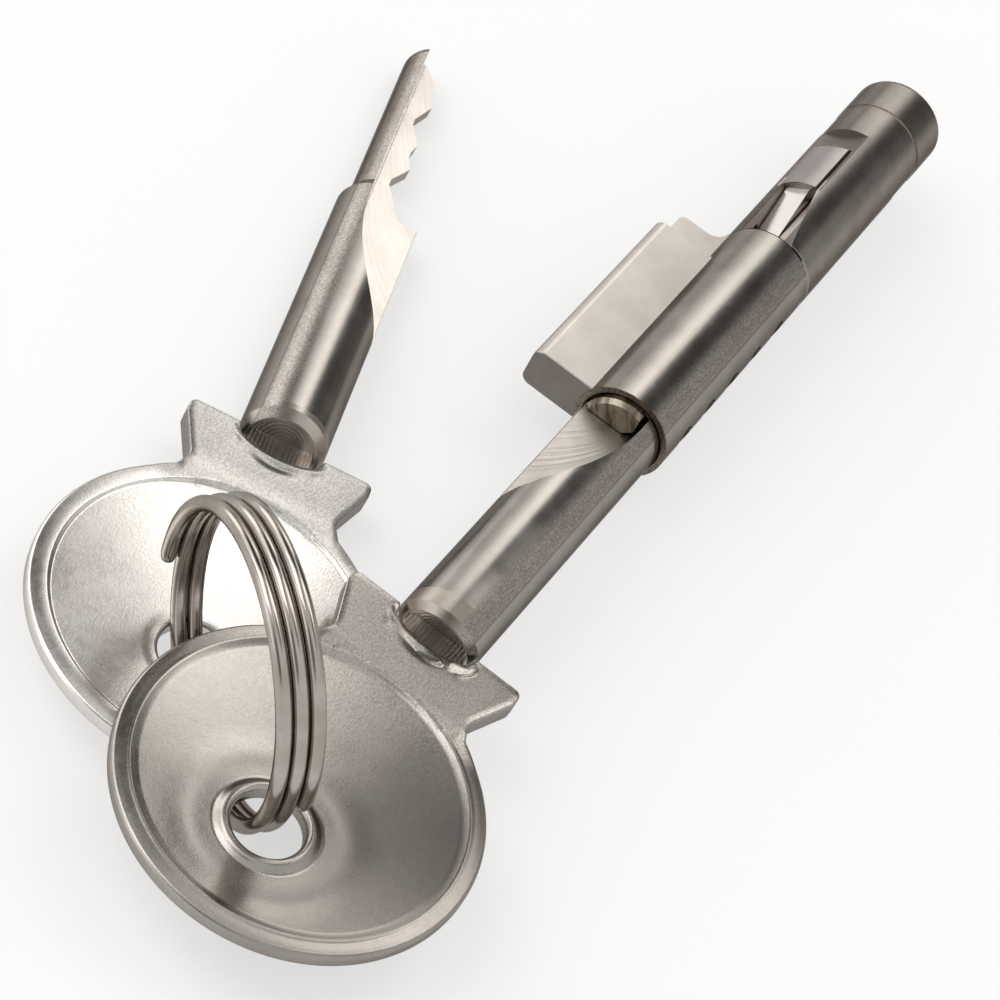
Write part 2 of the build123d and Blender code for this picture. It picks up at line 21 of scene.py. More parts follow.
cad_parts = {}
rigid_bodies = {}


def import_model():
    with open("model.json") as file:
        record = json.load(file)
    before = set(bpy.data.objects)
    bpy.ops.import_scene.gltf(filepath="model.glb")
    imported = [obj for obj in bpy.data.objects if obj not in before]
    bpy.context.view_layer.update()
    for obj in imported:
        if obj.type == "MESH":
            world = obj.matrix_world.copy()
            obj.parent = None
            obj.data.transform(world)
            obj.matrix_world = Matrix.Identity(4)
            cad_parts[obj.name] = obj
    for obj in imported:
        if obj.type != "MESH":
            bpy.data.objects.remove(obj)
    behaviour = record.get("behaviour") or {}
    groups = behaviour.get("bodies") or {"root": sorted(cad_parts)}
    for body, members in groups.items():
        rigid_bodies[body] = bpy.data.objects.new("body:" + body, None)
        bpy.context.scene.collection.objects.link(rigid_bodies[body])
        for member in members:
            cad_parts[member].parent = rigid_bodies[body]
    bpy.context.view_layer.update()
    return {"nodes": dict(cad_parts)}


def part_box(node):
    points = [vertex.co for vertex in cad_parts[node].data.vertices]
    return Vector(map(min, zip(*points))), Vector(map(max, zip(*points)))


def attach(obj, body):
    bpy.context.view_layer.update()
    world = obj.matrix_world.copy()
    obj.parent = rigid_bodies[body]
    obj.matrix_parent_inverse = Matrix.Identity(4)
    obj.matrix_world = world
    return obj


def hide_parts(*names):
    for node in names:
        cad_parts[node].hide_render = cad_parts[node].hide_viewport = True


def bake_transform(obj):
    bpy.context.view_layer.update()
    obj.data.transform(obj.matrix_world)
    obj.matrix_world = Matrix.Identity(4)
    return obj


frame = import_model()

MM = 0.001

log = logging.getLogger("cabinet_lock")

Array = np.ndarray
Pair = Tuple[float, float]
Triple = Tuple[float, float, float]
Colour = Triple
Hill = Triple
Bounds = Tuple[Optional[float], Optional[float]]
Socket = bpy.types.NodeSocket
Value = Union[float, Socket]
Paint = Union[Colour, Socket]
Dresser = Callable[["NodeSheet", Socket], Socket]

PRINCIPLED = "BsdfPrincipled"
# Where the sandy band fades in and out, and the painted dark line past it, a painted reflection of the
# floor's horizon, as shares of the radius towards the lug
SAND_BAND: Tuple[Pair, Pair] = ((-0.22, -0.42), (-0.76, -0.73))
HORIZON_REFLECTION_LINE: Tuple[Pair, Pair] = ((-0.785, -0.765), (-0.735, -0.755))


class Grain(Enum):
    """Which way the fine marks of a metal surface run."""

    TURNED = "turned"
    DRAWN = "drawn"
    PRESSED = "pressed"
    PLAIN = "plain"


@dataclass(frozen=True)
class Frame:
    """A piece's own frame in the shared one.

    Attributes:
        origin: where its origin lies, in millimetres.
        along: its X.
        face: its Z.
    """

    origin: Triple = (0.0, 0.0, 0.0)
    along: Triple = (1.0, 0.0, 0.0)
    face: Triple = (0.0, 0.0, 1.0)

    def axes(self) -> Tuple[Triple, Triple, Triple]:
        """The three axes as unit vectors, each square to the others."""
        first = np.array(self.along) / np.linalg.norm(self.along)
        second = np.cross(self.face, first)
        second /= np.linalg.norm(second)
        third = np.cross(first, second)
        return tuple(first), tuple(second), tuple(third)

    def place(self, points: Array) -> Array:
        """Points of the piece in the shared frame: the origin plus each part times its axis."""
        return np.array(self.origin) + points @ np.array(self.axes())


class NodeSheet:
    """A short hand for building the node tree of a material or of the room."""

    def __init__(self, owner: bpy.types.ID, shader: str = PRINCIPLED, out: str = "OutputMaterial") -> None:
        """Start a tree with one shader and an output.

        Args:
            owner: the material or the world.
            shader: the shader's kind.
            out: the output's kind.
        """
        owner.use_nodes = True
        self.owner = owner
        self.tree = owner.node_tree
        self.tree.nodes.clear()
        self.out = self.add(f"ShaderNode{out}")
        self.shader = self.add(f"ShaderNode{shader}")
        self.link(self.shader.outputs[0], self.out.inputs[0])

    @classmethod
    def of_material(cls, name: str, shader: str = PRINCIPLED) -> "NodeSheet":
        """The sheet of a new material."""
        return cls(bpy.data.materials.new(name), shader)

    def add(self, kind: str, **settings: object) -> bpy.types.Node:
        """Add one node and set its plain properties.

        Args:
            kind: the node's type name.
            settings: properties of the node.

        Returns:
            The new node.
        """
        node = self.tree.nodes.new(kind)
        for key, value in settings.items():
            setattr(node, key, value)
        return node

    def link(self, source: bpy.types.NodeSocket, target: bpy.types.NodeSocket) -> None:
        """Join an output to an input."""
        self.tree.links.new(source, target)

    def place(
        self, origin: Triple = (0, 0, 0), scale: Triple = (1, 1, 1), turn: Triple = (0, 0, 0)
    ) -> Socket:
        """Object coordinates in millimetres, centred on a point, turned and then scaled.

        Args:
            origin: the pattern's centre.
            scale: the factors on the three axes.
            turn: the turn of the axes in degrees.

        Returns:
            The vector socket.
        """
        coords = self.add("ShaderNodeTexCoord")
        centre = self.add("ShaderNodeVectorMath", operation="MULTIPLY_ADD")
        centre.inputs[1].default_value = (1 / MM, 1 / MM, 1 / MM)
        centre.inputs[2].default_value = tuple(-c for c in origin)
        self.link(coords.outputs["Object"], centre.inputs[0])
        spin = self.add("ShaderNodeMapping", vector_type="POINT")
        spin.inputs["Rotation"].default_value = tuple(math.radians(t) for t in turn)
        self.link(centre.outputs[0], spin.inputs["Vector"])
        stretch = self.add("ShaderNodeVectorMath", operation="MULTIPLY")
        stretch.inputs[1].default_value = scale
        self.link(spin.outputs[0], stretch.inputs[0])
        return stretch.outputs[0]

    def local(self, spot: Frame) -> List[Socket]:
        """Coordinates in millimetres in a piece's own frame, each the dot product with one of its axes.

        Args:
            spot: the frame.

        Returns:
            The sockets of the three coordinates.
        """
        coords = self.place(origin=spot.origin)
        return [self.dot(coords, axis) for axis in spot.axes()]

    def dot(self, vector: Socket, way: Triple) -> Socket:
        """The dot product of a vector socket with a fixed direction.

        Args:
            vector: the vector socket.
            way: the direction.

        Returns:
            The value socket.
        """
        node = self.add("ShaderNodeVectorMath", operation="DOT_PRODUCT")
        self.link(vector, node.inputs[0])
        node.inputs[1].default_value = way
        return node.outputs["Value"]

    def noise(self, vector: Socket, scale: float, detail: float = 3.0, rough: float = 0.5) -> Socket:
        """A noise from 0 to 1.

        Args:
            vector: the coordinate socket.
            scale: noise cells per unit of the coordinates.
            detail: how many finer layers it has.
            rough: how strong they are.

        Returns:
            The value socket.
        """
        node = self.add("ShaderNodeTexNoise")
        for name, value in (("Scale", scale), ("Detail", detail), ("Roughness", rough)):
            node.inputs[name].default_value = value
        self.link(vector, node.inputs["Vector"])
        return node.outputs["Fac"]

    def math(self, operation: str, a: Value, b: Optional[Value] = None, clamp: bool = False) -> Socket:
        """One math node.

        Args:
            operation: its operation.
            a: the first value, a socket or a number.
            b: the second value, where there is one.
            clamp: whether the result is kept from 0 to 1.

        Returns:
            The value socket.
        """
        node = self.add("ShaderNodeMath", operation=operation, use_clamp=clamp)
        for index, value in enumerate((a, b)):
            if value is None:
                continue
            if isinstance(value, (int, float)):
                node.inputs[index].default_value = value
            else:
                self.link(value, node.inputs[index])
        return node.outputs[0]

    def above(self, value: Socket, limit: Value) -> Socket:
        """1 where a value is greater than a limit."""
        return self.math("GREATER_THAN", value, limit)

    def below(self, value: Socket, limit: Value) -> Socket:
        """1 where a value is less than a limit."""
        return self.math("LESS_THAN", value, limit)

    def length(self, first: Socket, second: Socket) -> Socket:
        """The length of the sum of two square parts: the root of their squares' sum."""
        squares = [self.math("MULTIPLY", part, part) for part in (first, second)]
        return self.math("SQRT", self.math("ADD", *squares))

    def span(
        self, value: Socket, low: float, high: float, to_low: float = 0.0, to_high: float = 1.0,
        ease: str = "LINEAR",
    ) -> Socket:
        """Map a value from one range to another, clamped. The first range may fall.

        Args:
            value: the value socket.
            low: the value that gives to_low.
            high: the value that gives to_high.
            to_low: the result at low.
            to_high: the result at high.
            ease: how it goes between them.

        Returns:
            The value socket.
        """
        node = self.add("ShaderNodeMapRange", interpolation_type=ease)
        for index, bound in enumerate((low, high, to_low, to_high), 1):
            node.inputs[index].default_value = bound
        self.link(value, node.inputs["Value"])
        return node.outputs["Result"]

    def mix_colours(self, factor: Value, first: Paint, second: Paint, blend: str = "MIX") -> Socket:
        """Mix two colours by a value.

        Args:
            factor: the share of the second, a socket or a number.
            first: the first colour or its socket.
            second: the second one.
            blend: how they are mixed.

        Returns:
            The colour socket.
        """
        node = self.add("ShaderNodeMix", data_type="RGBA", blend_type=blend)
        for name, value in (("Factor", factor), ("A", first), ("B", second)):
            if isinstance(value, float):
                node.inputs[name].default_value = value
            elif isinstance(value, tuple):
                node.inputs[name].default_value = (*value, 1.0)
            else:
                self.link(value, node.inputs[name])
        return node.outputs["Result"]

    def all_of(self, *tests: Socket) -> Socket:
        """1 where every test is 1: the product of them all."""
        return reduce(partial(self.math, "MULTIPLY"), tests)

    def repaint(self, where: Socket, colour: Colour, roughness: float) -> None:
        """Multiply the shader's colour and replace its roughness where a value is 1.

        Args:
            where: the value socket, 0 for the old finish and 1 for the new one.
            colour: the factor on the colour.
            roughness: the new roughness.
        """
        target = self.shader.inputs["Base Color"]
        under = target.links[0].from_socket
        shaded = self.mix_colours(1.0, under, colour, "MULTIPLY")
        self.link(self.mix_colours(where, under, shaded), target)
        target = self.shader.inputs["Roughness"]
        mix = self.add("ShaderNodeMix", data_type="FLOAT")
        self.link(where, mix.inputs["Factor"])
        self.link(target.links[0].from_socket, mix.inputs["A"])
        mix.inputs["B"].default_value = roughness
        self.link(mix.outputs["Result"], target)

    def speckle(self, where: Socket, light: float, dark: float) -> Socket:
        """Scatter lighter and darker grains of about a tenth of a millimetre where a value is 1.

        Args:
            where: the value socket.
            light: the factor on the light grains' colour.
            dark: the same for the dark ones.

        Returns:
            The socket of the grains' height.
        """
        grains = self.noise(self.place(scale=(5.0, 8.5, 8.5)), 1.0, 1.0, 0.5)
        self.repaint(self.all_of(where, self.span(grains, 0.52, 0.66)), (light,) * 3, 0.3)
        self.repaint(self.all_of(where, self.span(grains, 0.48, 0.36)), (dark,) * 3, 0.3)
        return grains

    def sandy(self, out: Socket, radius: float, normal: Socket) -> Socket:
        """A sandy grain on the side away from the lug, down to a fine painted dark line, a painted reflection
        of the floor's horizon.

        The distance out as a share of the radius tells where a point is round the piece.

        Args:
            out: the socket of the distance towards the lug, in millimetres.
            radius: the piece's radius in millimetres.
            normal: the normal socket so far.

        Returns:
            The normal socket.
        """
        turn = self.math("DIVIDE", out, radius)
        band = self.all_of(*(self.span(turn, *fade) for fade in SAND_BAND))
        self.repaint(band, (0.86, 0.85, 0.84), 0.3)
        grains = self.speckle(band, 1.30, 0.78)
        # painted reflection: a fine dark line where the floor's horizon is mirrored
        line = self.all_of(*(self.span(turn, *fade) for fade in HORIZON_REFLECTION_LINE))
        self.repaint(line, (0.66, 0.63, 0.60), 0.3)
        return self.bump(self.math("MULTIPLY", grains, band), 0.006, 0.9, normal)

    def show_mix(self, factor: Socket, under: bpy.types.Node, over: bpy.types.Node) -> None:
        """Send a mix of two shaders to the output.

        Args:
            factor: the value socket, 0 for the first shader and 1 for the second.
            under: the first shader's node.
            over: the second shader's node.
        """
        blend = self.add("ShaderNodeMixShader")
        for index, source in enumerate((factor, under.outputs[0], over.outputs[0])):
            self.link(source, blend.inputs[index])
        self.link(blend.outputs[0], self.out.inputs[0])

    def bump(self, height: Socket, depth: float, strength: float, normal: Optional[Socket] = None) -> Socket:
        """Bump from a height.

        Args:
            height: the value socket.
            depth: what a height of 1 stands for, in millimetres.
            strength: how much of it shows.
            normal: the normal socket so far.

        Returns:
            The normal socket.
        """
        node = self.add("ShaderNodeBump")
        node.inputs["Strength"].default_value = strength
        node.inputs["Distance"].default_value = depth * MM
        self.link(height, node.inputs["Height"])
        if normal is not None:
            self.link(normal, node.inputs["Normal"])
        return node.outputs["Normal"]


@dataclass(frozen=True)
class PlatedMetal:
    """Nickel-plated or bare metal with the marks its making left.

    Attributes:
        name: the finish's name.
        dark: the colour of the duller patches.
        light: the colour of the brighter ones.
        roughness: the lowest and highest roughness.
        grain: which way the fine marks run.
        pits: how deep the pits and dents are, in millimetres.
        marks: how deep the fine marks are, in millimetres.
        speckle: how deep the sandy grain is, in millimetres.
        edge: the share of the light that is left at a grazing angle.
    """

    name: str
    dark: Colour
    light: Colour
    roughness: Pair
    grain: Grain = Grain.DRAWN
    pits: float = 0.0006
    marks: float = 0.0009
    speckle: float = 0.0
    edge: float = 0.5

    def grain_scale(self) -> Triple:
        """How the fine marks are stretched along the three axes, per millimetre."""
        table: Dict[Grain, Triple] = {
            Grain.TURNED: (6.0, 0.35, 0.35),
            Grain.DRAWN: (0.12, 6.0, 6.0),
            Grain.PRESSED: (1.6, 1.6, 1.6),
            Grain.PLAIN: (2.5, 2.5, 2.5),
        }
        return table[self.grain]

    def make(self, dress: Optional[Dresser] = None) -> bpy.types.Material:
        """Build the material.

        Args:
            dress: adds tool marks; it gets the sheet and the normal so far, and gives back a normal.

        Returns:
            The finished material.
        """
        sheet = NodeSheet.of_material(self.name)
        plain = sheet.place()
        patches = sheet.noise(plain, 0.35, 5.0, 0.6)
        fine = sheet.noise(sheet.place(scale=self.grain_scale()), 1.0, 4.0, 0.65)
        pits = sheet.noise(plain, 2.4, 2.0, 0.5)
        tone = sheet.span(patches, 0.35, 0.68)
        colour = sheet.mix_colours(tone, self.dark, self.light)
        sheet.link(colour, sheet.shader.inputs["Base Color"])
        sheet.shader.inputs["Metallic"].default_value = 1.0
        edge_tint = (self.edge, self.edge * 0.97, self.edge * 0.93, 1.0)
        sheet.shader.inputs["Specular Tint"].default_value = edge_tint
        worn = sheet.math("ADD", sheet.math("MULTIPLY", patches, 0.6), sheet.math("MULTIPLY", fine, 0.4))
        rough = sheet.span(worn, 0.3, 0.7, self.roughness[0], self.roughness[1])
        sheet.link(rough, sheet.shader.inputs["Roughness"])
        normal = sheet.bump(fine, self.marks, 0.7)
        if self.speckle > 0:
            sand = sheet.noise(sheet.place(scale=(5.5, 9.0, 9.0)), 1.0, 2.0, 0.6)
            normal = sheet.bump(sand, self.speckle, 0.8, normal)
        normal = sheet.bump(sheet.span(pits, 0.2, 0.8), self.pits, 0.8, normal)
        if dress is not None:
            normal = dress(sheet, normal)
        sheet.link(normal, sheet.shader.inputs["Normal"])
        return sheet.owner


def skin(node: str, material: bpy.types.Material) -> None:
    """Give a solid of the frame its finish.

    Args:
        node: the node's name.
        material: the finish.
    """
    solid = frame["nodes"][node]
    solid.data.materials.clear()
    solid.data.materials.append(material)


def grid_faces(rows: int, columns: int, closed: bool) -> Array:
    """The four-sided faces of a grid of points whose every row is a closed loop.

    Args:
        rows: how many rows the points have.
        columns: how many points a row has.
        closed: whether the last row joins the first.

    Returns:
        The faces, each with its four vertex numbers.
    """
    row = np.arange(rows if closed else rows - 1)[:, None]
    column = np.arange(columns)[None, :]
    here, next_row = row * columns, (row + 1) % rows * columns
    ahead = (column + 1) % columns
    return np.stack([here + column, here + ahead, next_row + ahead, next_row + column], -1).reshape(-1, 4)


def tube_grid(path: Array, radius: Array, sides: int) -> Tuple[Array, Sequence]:
    """A round tube along a path, closed by a flat face at each end.

    Every ring is a circle of the given radius in the plane square to the path. The circle's first
    direction is carried along the path without twist, as each step's component square to the path.

    Args:
        path: points along the tube, n by 3.
        radius: the tube's radius at each point.
        sides: how many points a ring has.

    Returns:
        The vertices and the faces.
    """
    tangent = np.gradient(path, axis=0)
    tangent /= np.linalg.norm(tangent, axis=1, keepdims=True)
    first = np.cross(tangent[0], (0.3, 0.5, 0.81))
    guide = np.empty_like(path)
    guide[0] = first / np.linalg.norm(first)
    for i in range(1, len(path)):
        step = guide[i - 1] - tangent[i] * float(guide[i - 1] @ tangent[i])
        guide[i] = step / np.linalg.norm(step)
    side = np.cross(tangent, guide)
    angle = np.linspace(0, 2 * np.pi, sides, endpoint=False)
    ring = guide[:, None, :] * np.cos(angle)[None, :, None] + side[:, None, :] * np.sin(angle)[None, :, None]
    points = (path[:, None, :] + ring * radius[:, None, None]).reshape(-1, 3)
    faces = [tuple(face) for face in grid_faces(len(path), sides, False)]
    last = (len(path) - 1) * sides
    faces += [tuple(range(sides - 1, -1, -1)), tuple(range(last, last + sides))]
    return points, faces


def new_piece(name: str, points: Array, faces: Sequence, material: bpy.types.Material) -> bpy.types.Object:
    """Make a mesh object from points in millimetres.

    Args:
        name: the piece's name.
        points: the vertices in millimetres.
        faces: the faces as tuples of vertex numbers.
        material: the piece's finish.

    Returns:
        The new object, smooth shaded.
    """
    mesh = bpy.data.meshes.new(name)
    mesh.from_pydata((np.asarray(points) * MM).tolist(), [], [tuple(int(v) for v in f) for f in faces])
    mesh.materials.append(material)
    mesh.polygons.foreach_set("use_smooth", np.ones(len(mesh.polygons), bool))
    mesh.update()
    piece = bpy.data.objects.new(name, mesh)
    bpy.context.scene.collection.objects.link(piece)
    return piece


@dataclass
class SplitRing:
    """The steel split ring, one wire wound on a helix.

    Attributes:
        centre: the middle of the ring, in millimetres.
        axis: the way the ring's axis points.
        radius: the radius of the wire's centre line.
        wire: the wire's diameter.
        pitch: how far one turn climbs.
        start: the angle of the first end, in degrees.
        end: the angle of the last end.
        level: the angle at which the climb is nothing.
        steps: how many rings of points the wire has.
        sides: how many points a ring has.
        ease: over how many rings the ends are rounded.
    """

    centre: Triple = (-39.336, 6.957, 5.231)
    axis: Triple = (0.7766, -0.6240, 0.0867)
    radius: float = 9.573
    wire: float = 1.0
    pitch: float = 1.04
    start: float = -6.0
    end: float = 913.6
    level: float = 400.0
    steps: int = 900
    sides: int = 28
    ease: float = 3.0

    def path(self) -> Array:
        """The wire's centre line: a circle in the ring's plane, plus a climb along its axis.

        Returns:
            The points in millimetres, one row each.
        """
        axis = np.array(self.axis) / np.linalg.norm(self.axis)
        flat = np.cross(axis, (0.0, 0.0, 1.0))
        flat /= np.linalg.norm(flat)
        up = np.cross(flat, axis)
        degrees = np.linspace(self.start, self.end, self.steps)
        turn = np.radians(degrees)[:, None]
        climb = (self.pitch * (self.level - degrees) / 360.0)[:, None]
        return np.array(self.centre) + self.radius * (np.cos(turn) * flat + np.sin(turn) * up) + climb * axis

    def build(self) -> None:
        """Make the wire with its rounded ends and let it ride on the ring's body."""
        finish = PlatedMetal(
            "bright_ring_plate", (0.35, 0.312, 0.275), (0.47, 0.433, 0.40), (0.12, 0.20),
            Grain.PLAIN, pits=0.0012, marks=0.0006,
        ).make()
        path = self.path()
        ease = np.minimum(1.0, np.arange(self.steps) / self.ease)
        radius = self.wire / 2 * np.sqrt(np.minimum(ease, ease[::-1]) * 0.4 + 0.6)
        points, faces = tube_grid(path, radius, self.sides)
        piece = new_piece("ring_wire", points, faces, finish)
        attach(piece, "ring")
        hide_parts("split_ring")
        log.info("split ring: %d faces", len(faces))


@dataclass
class PinSpring:
    """The coil spring over a driver pin, built at one fixed length, though the real one shortens as the
    driver rises.

    Attributes:
        index: which stack it is in, from 1.
        turns: how many turns of wire it has.
        wire: the wire's radius in millimetres.
        steps: how many rings of points the wire has.
        sides: how many points a ring has.
    """

    index: int
    turns: float = 3.25
    wire: float = 0.11
    steps: int = 240
    sides: int = 10

    def path(self) -> Array:
        """The wire's middle line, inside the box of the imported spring.

        The coil's radius is half the box's width less the wire's radius. It rises evenly over the
        middle turns, and lies flat for half a turn at each end.

        Returns:
            The points in millimetres, one row each.
        """
        low, high = (np.array(corner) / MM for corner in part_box(f"pin_spring_{self.index}"))
        middle = (low + high) / 2.0
        wire = self.wire * 1.02
        share = np.linspace(0.0, 1.0, self.steps)
        turn = 2.0 * np.pi * self.turns * share
        rise = np.clip((share - 0.5 / self.turns) / (1.0 - 1.0 / self.turns), 0.0, 1.0)
        coil = (high[0] - low[0]) / 2.0 - wire
        height = low[1] + wire + rise * (high[1] - low[1] - 2.0 * wire)
        return np.stack([middle[0] + coil * np.cos(turn), height, middle[2] + coil * np.sin(turn)], axis=1)

    def build(self, material: bpy.types.Material) -> None:
        """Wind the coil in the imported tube's place, between the driver and the housing.

        Args:
            material: the wire's finish.
        """
        points, faces = tube_grid(self.path(), np.full(self.steps, self.wire), self.sides)
        piece = new_piece(f"coil_spring_{self.index}", points, faces, material)
        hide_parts(f"pin_spring_{self.index}")
        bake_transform(piece)


@dataclass(frozen=True)
class Zone:
    """A part of the lock's surface with a finish of its own, told by bounds in millimetres.

    Each pair of bounds is the least and the greatest value, None where there is none.

    Attributes:
        tint: the factor on the colour.
        roughness: the zone's roughness.
        along: bounds on the place along the lock.
        out: the same towards the lug.
        side: the same for the distance from the middle plane.
        away: the same for the distance from the axis.
    """

    tint: Colour
    roughness: float
    along: Bounds = (None, None)
    out: Bounds = (None, None)
    side: Bounds = (None, None)
    away: Bounds = (None, None)

    def where(self, sheet: NodeSheet, places: Sequence[Socket]) -> Socket:
        """1 inside the zone: every place is above its least and below its greatest value.

        Args:
            sheet: the material's sheet.
            places: the sockets of the four places, in the order of the bounds.

        Returns:
            The value socket.
        """
        tests = []
        for place, (least, greatest) in zip(places, (self.along, self.out, self.side, self.away)):
            if least is not None:
                tests.append(sheet.above(place, least))
            if greatest is not None:
                tests.append(sheet.below(place, greatest))
        return sheet.all_of(*tests)


def zoned(zones: Sequence[Zone], more: Optional[Callable] = None) -> Dresser:
    """What gives each zone its finish.

    Args:
        zones: the zones, later ones over earlier ones.
        more: a last touch; it gets the sheet, the four places and the normal, and gives back a normal.

    Returns:
        The function that dresses a material.
    """

    def dress(sheet: NodeSheet, normal: Socket) -> Socket:
        """Paint the zones. The four places are along, out, and the distances from the plane and the axis.

        Args:
            sheet: the material's sheet.
            normal: the normal socket so far.

        Returns:
            The normal socket.
        """
        along, out, height = sheet.local(Frame())
        places = (along, out, sheet.math("ABSOLUTE", height), sheet.length(out, height))
        for zone in zones:
            sheet.repaint(zone.where(sheet, places), zone.tint, zone.roughness)
        return normal if more is None else more(sheet, places, normal)

    return dress


@dataclass
class LockBody:
    """The barrel with its lug, the tail sleeve, and what they hold.

    Attributes:
        pins: how many pin stacks there are.
        radius: the barrel's radius in millimetres.
        ring: the dull ring round the mouth.
        barrel_zones: the lug's satin broad faces, a painted shade on its front face, that ring, and a painted
            shadow in the seam.
        tail_zones: painted light on the walls of the latch's pocket, a painted shadow at the seam, and
            painted light on the thin groove's floor.
        latch_zones: the latch's hub, darker than its finger; the latch's light plating colour is a painted
            highlight for the finger.
    """

    pins: int = 5
    radius: float = 3.5
    ring: Zone = Zone((0.70, 0.63, 0.55), 0.4, along=(None, 0.06), away=(None, 3.53))
    barrel_zones: Tuple[Zone, ...] = (
        Zone((1.62, 1.62, 1.64), 0.42, along=(0.06, None), side=(0.9, None), away=(3.53, None)),
        # painted shade on the lug's front face
        Zone((0.62, 0.60, 0.60), 0.38, along=(None, 0.06), away=(3.53, None)),
        ring,
        # painted shadow in the seam between barrel and tail, on its lit side only
        Zone((0.10, 0.09, 0.08), 0.6, along=(21.21, 21.43), out=(-2.0, None)),
    )
    tail_zones: Tuple[Zone, ...] = (
        # painted light on the walls of the latch's pocket, against their shade
        Zone((2.0, 1.9, 1.95), 0.42, along=(21.47, 29.5), out=(0.0, None), away=(None, 3.42)),
        # painted shadow at the seam
        Zone((0.12, 0.10, 0.09), 0.6, along=(None, 21.47), out=(-1.9, None)),
        # painted light on the thin groove's floor, against its shade
        Zone((2.4, 2.35, 2.3), 0.4, along=(39.5, 39.8), away=(None, 3.46)),
    )
    # the hub is toned back down from the latch's painted highlight
    latch_zones: Tuple[Zone, ...] = (Zone((0.66, 0.64, 0.66), 0.36, along=(28.1, None)),)

    def mouth_and_side(self, sheet: NodeSheet, places: Sequence[Socket], normal: Socket) -> Socket:
        """Mottle the ring round the mouth and lay the sandy grain on the barrel's far side.

        Args:
            sheet: the material's sheet.
            places: the sockets of the four places.
            normal: the normal socket so far.

        Returns:
            The normal socket.
        """
        mottle = sheet.span(sheet.noise(sheet.place(scale=(3.0, 6.0, 6.0)), 1.0, 2.0, 0.6), 0.55, 0.42)
        sheet.repaint(sheet.all_of(self.ring.where(sheet, places), mottle), (0.55, 0.52, 0.50), 0.4)
        return sheet.sandy(places[1], self.radius, normal)

    def nose_streaks(self, sheet: NodeSheet, normal: Socket) -> Socket:
        """Draw brownish streaks across the plug's nose.

        Args:
            sheet: the material's sheet.
            normal: the normal socket so far.

        Returns:
            The normal socket.
        """
        streaks = sheet.noise(sheet.place(scale=(0.3, 2.6, 0.5), turn=(25, 0, 0)), 1.0, 3.0, 0.6)
        sheet.repaint(sheet.span(streaks, 0.42, 0.62), (0.46, 0.39, 0.32), 0.3)
        return normal

    def build(self) -> None:
        """Dress the housing, the plug, the tail, the latch and the pins."""
        steel = PlatedMetal(
            "ground_steel", (0.40, 0.39, 0.38), (0.52, 0.51, 0.50), (0.2, 0.35), pits=0.002, marks=0.002
        ).make()
        finishes = {
            "housing": PlatedMetal(
                "barrel_plate", (0.31, 0.285, 0.262), (0.36, 0.333, 0.308), (0.20, 0.30),
                speckle=0.0026, edge=0.28,
            ).make(zoned(self.barrel_zones, self.mouth_and_side)),
            "tail_sleeve": PlatedMetal(
                "tail_plate", (0.275, 0.25, 0.228), (0.325, 0.298, 0.274), (0.22, 0.32),
                speckle=0.0018, edge=0.28,
            ).make(zoned(self.tail_zones)),
            # painted highlight: the latch's colour is far lighter than the barrel's so the finger shows
            # bright
            "latch": PlatedMetal(
                "latch_painted_highlight_plate", (0.52, 0.49, 0.465), (0.58, 0.55, 0.525), (0.22, 0.32),
                marks=0.0008, speckle=0.0012,
            ).make(zoned(self.latch_zones)),
            "plug": PlatedMetal(
                "plug_plate", (0.34, 0.295, 0.24), (0.46, 0.41, 0.345), (0.2, 0.34),
                Grain.TURNED, pits=0.0015, marks=0.003,
            ).make(self.nose_streaks),
            "plug_retaining_pin": steel,
            "tail_fixing_pin": steel,
            "latch_pivot_pin": steel,
            "drive_pin": steel,
        }
        for node, finish in finishes.items():
            skin(node, finish)
        brass = PlatedMetal(
            "pin_brass", (0.46, 0.33, 0.15), (0.62, 0.47, 0.24), (0.2, 0.35),
            Grain.TURNED, pits=0.002, marks=0.003,
        ).make()
        spring = PlatedMetal(
            "spring_wire", (0.35, 0.35, 0.35), (0.5, 0.5, 0.5), (0.25, 0.4),
            Grain.PLAIN, pits=0.002, marks=0.002,
        ).make()
        for index in range(1, self.pins + 1):
            skin(f"key_pin_{index}", brass)
            skin(f"driver_pin_{index}", steel)
            PinSpring(index).build(spring)
        log.info("lock body: %d pin stacks", self.pins)


def hill(value: Array, shape: Hill) -> Array:
    """A smooth hill: its height times e to minus the square of the distance from its place over its width.

    Args:
        value: where the heights are asked for.
        shape: the hill's height, place and width.

    Returns:
        The heights.
    """
    height, place, width = shape
    return height * np.exp(-(((value - place) / width) ** 2))


def smooth(value: Array, low: float, high: float) -> Array:
    """Ease from 0 to 1 between two bounds: 3t^2 - 2t^3 of the share t of the way."""
    share = np.clip((value - low) / (high - low), 0.0, 1.0)
    return share * share * (3.0 - 2.0 * share)


def rounded_corner(before: Array, corner: Array, after: Array, radius: float, count: int) -> Array:
    """Points of the arc that rounds a corner: it touches both sides, its centre on their bisector.

    Args:
        before: a point on the side that comes in.
        corner: the corner.
        after: a point on the side that goes out.
        radius: the arc's radius.
        count: how many points.

    Returns:
        The points, count by 2.
    """
    back = (before - corner) / np.linalg.norm(before - corner)
    ahead = (after - corner) / np.linalg.norm(after - corner)
    half = math.acos(float(np.clip(back @ ahead, -1, 1))) / 2
    middle = (back + ahead) / np.linalg.norm(back + ahead)
    centre = corner + middle * radius / math.sin(half)
    first = corner + back * radius / math.tan(half) - centre
    last = corner + ahead * radius / math.tan(half) - centre
    share = np.linspace(0, 1, count)[:, None]
    sweep = math.pi - 2 * half
    arc = (np.sin((1 - share) * sweep) * first + np.sin(share * sweep) * last) / math.sin(sweep)
    return centre + arc


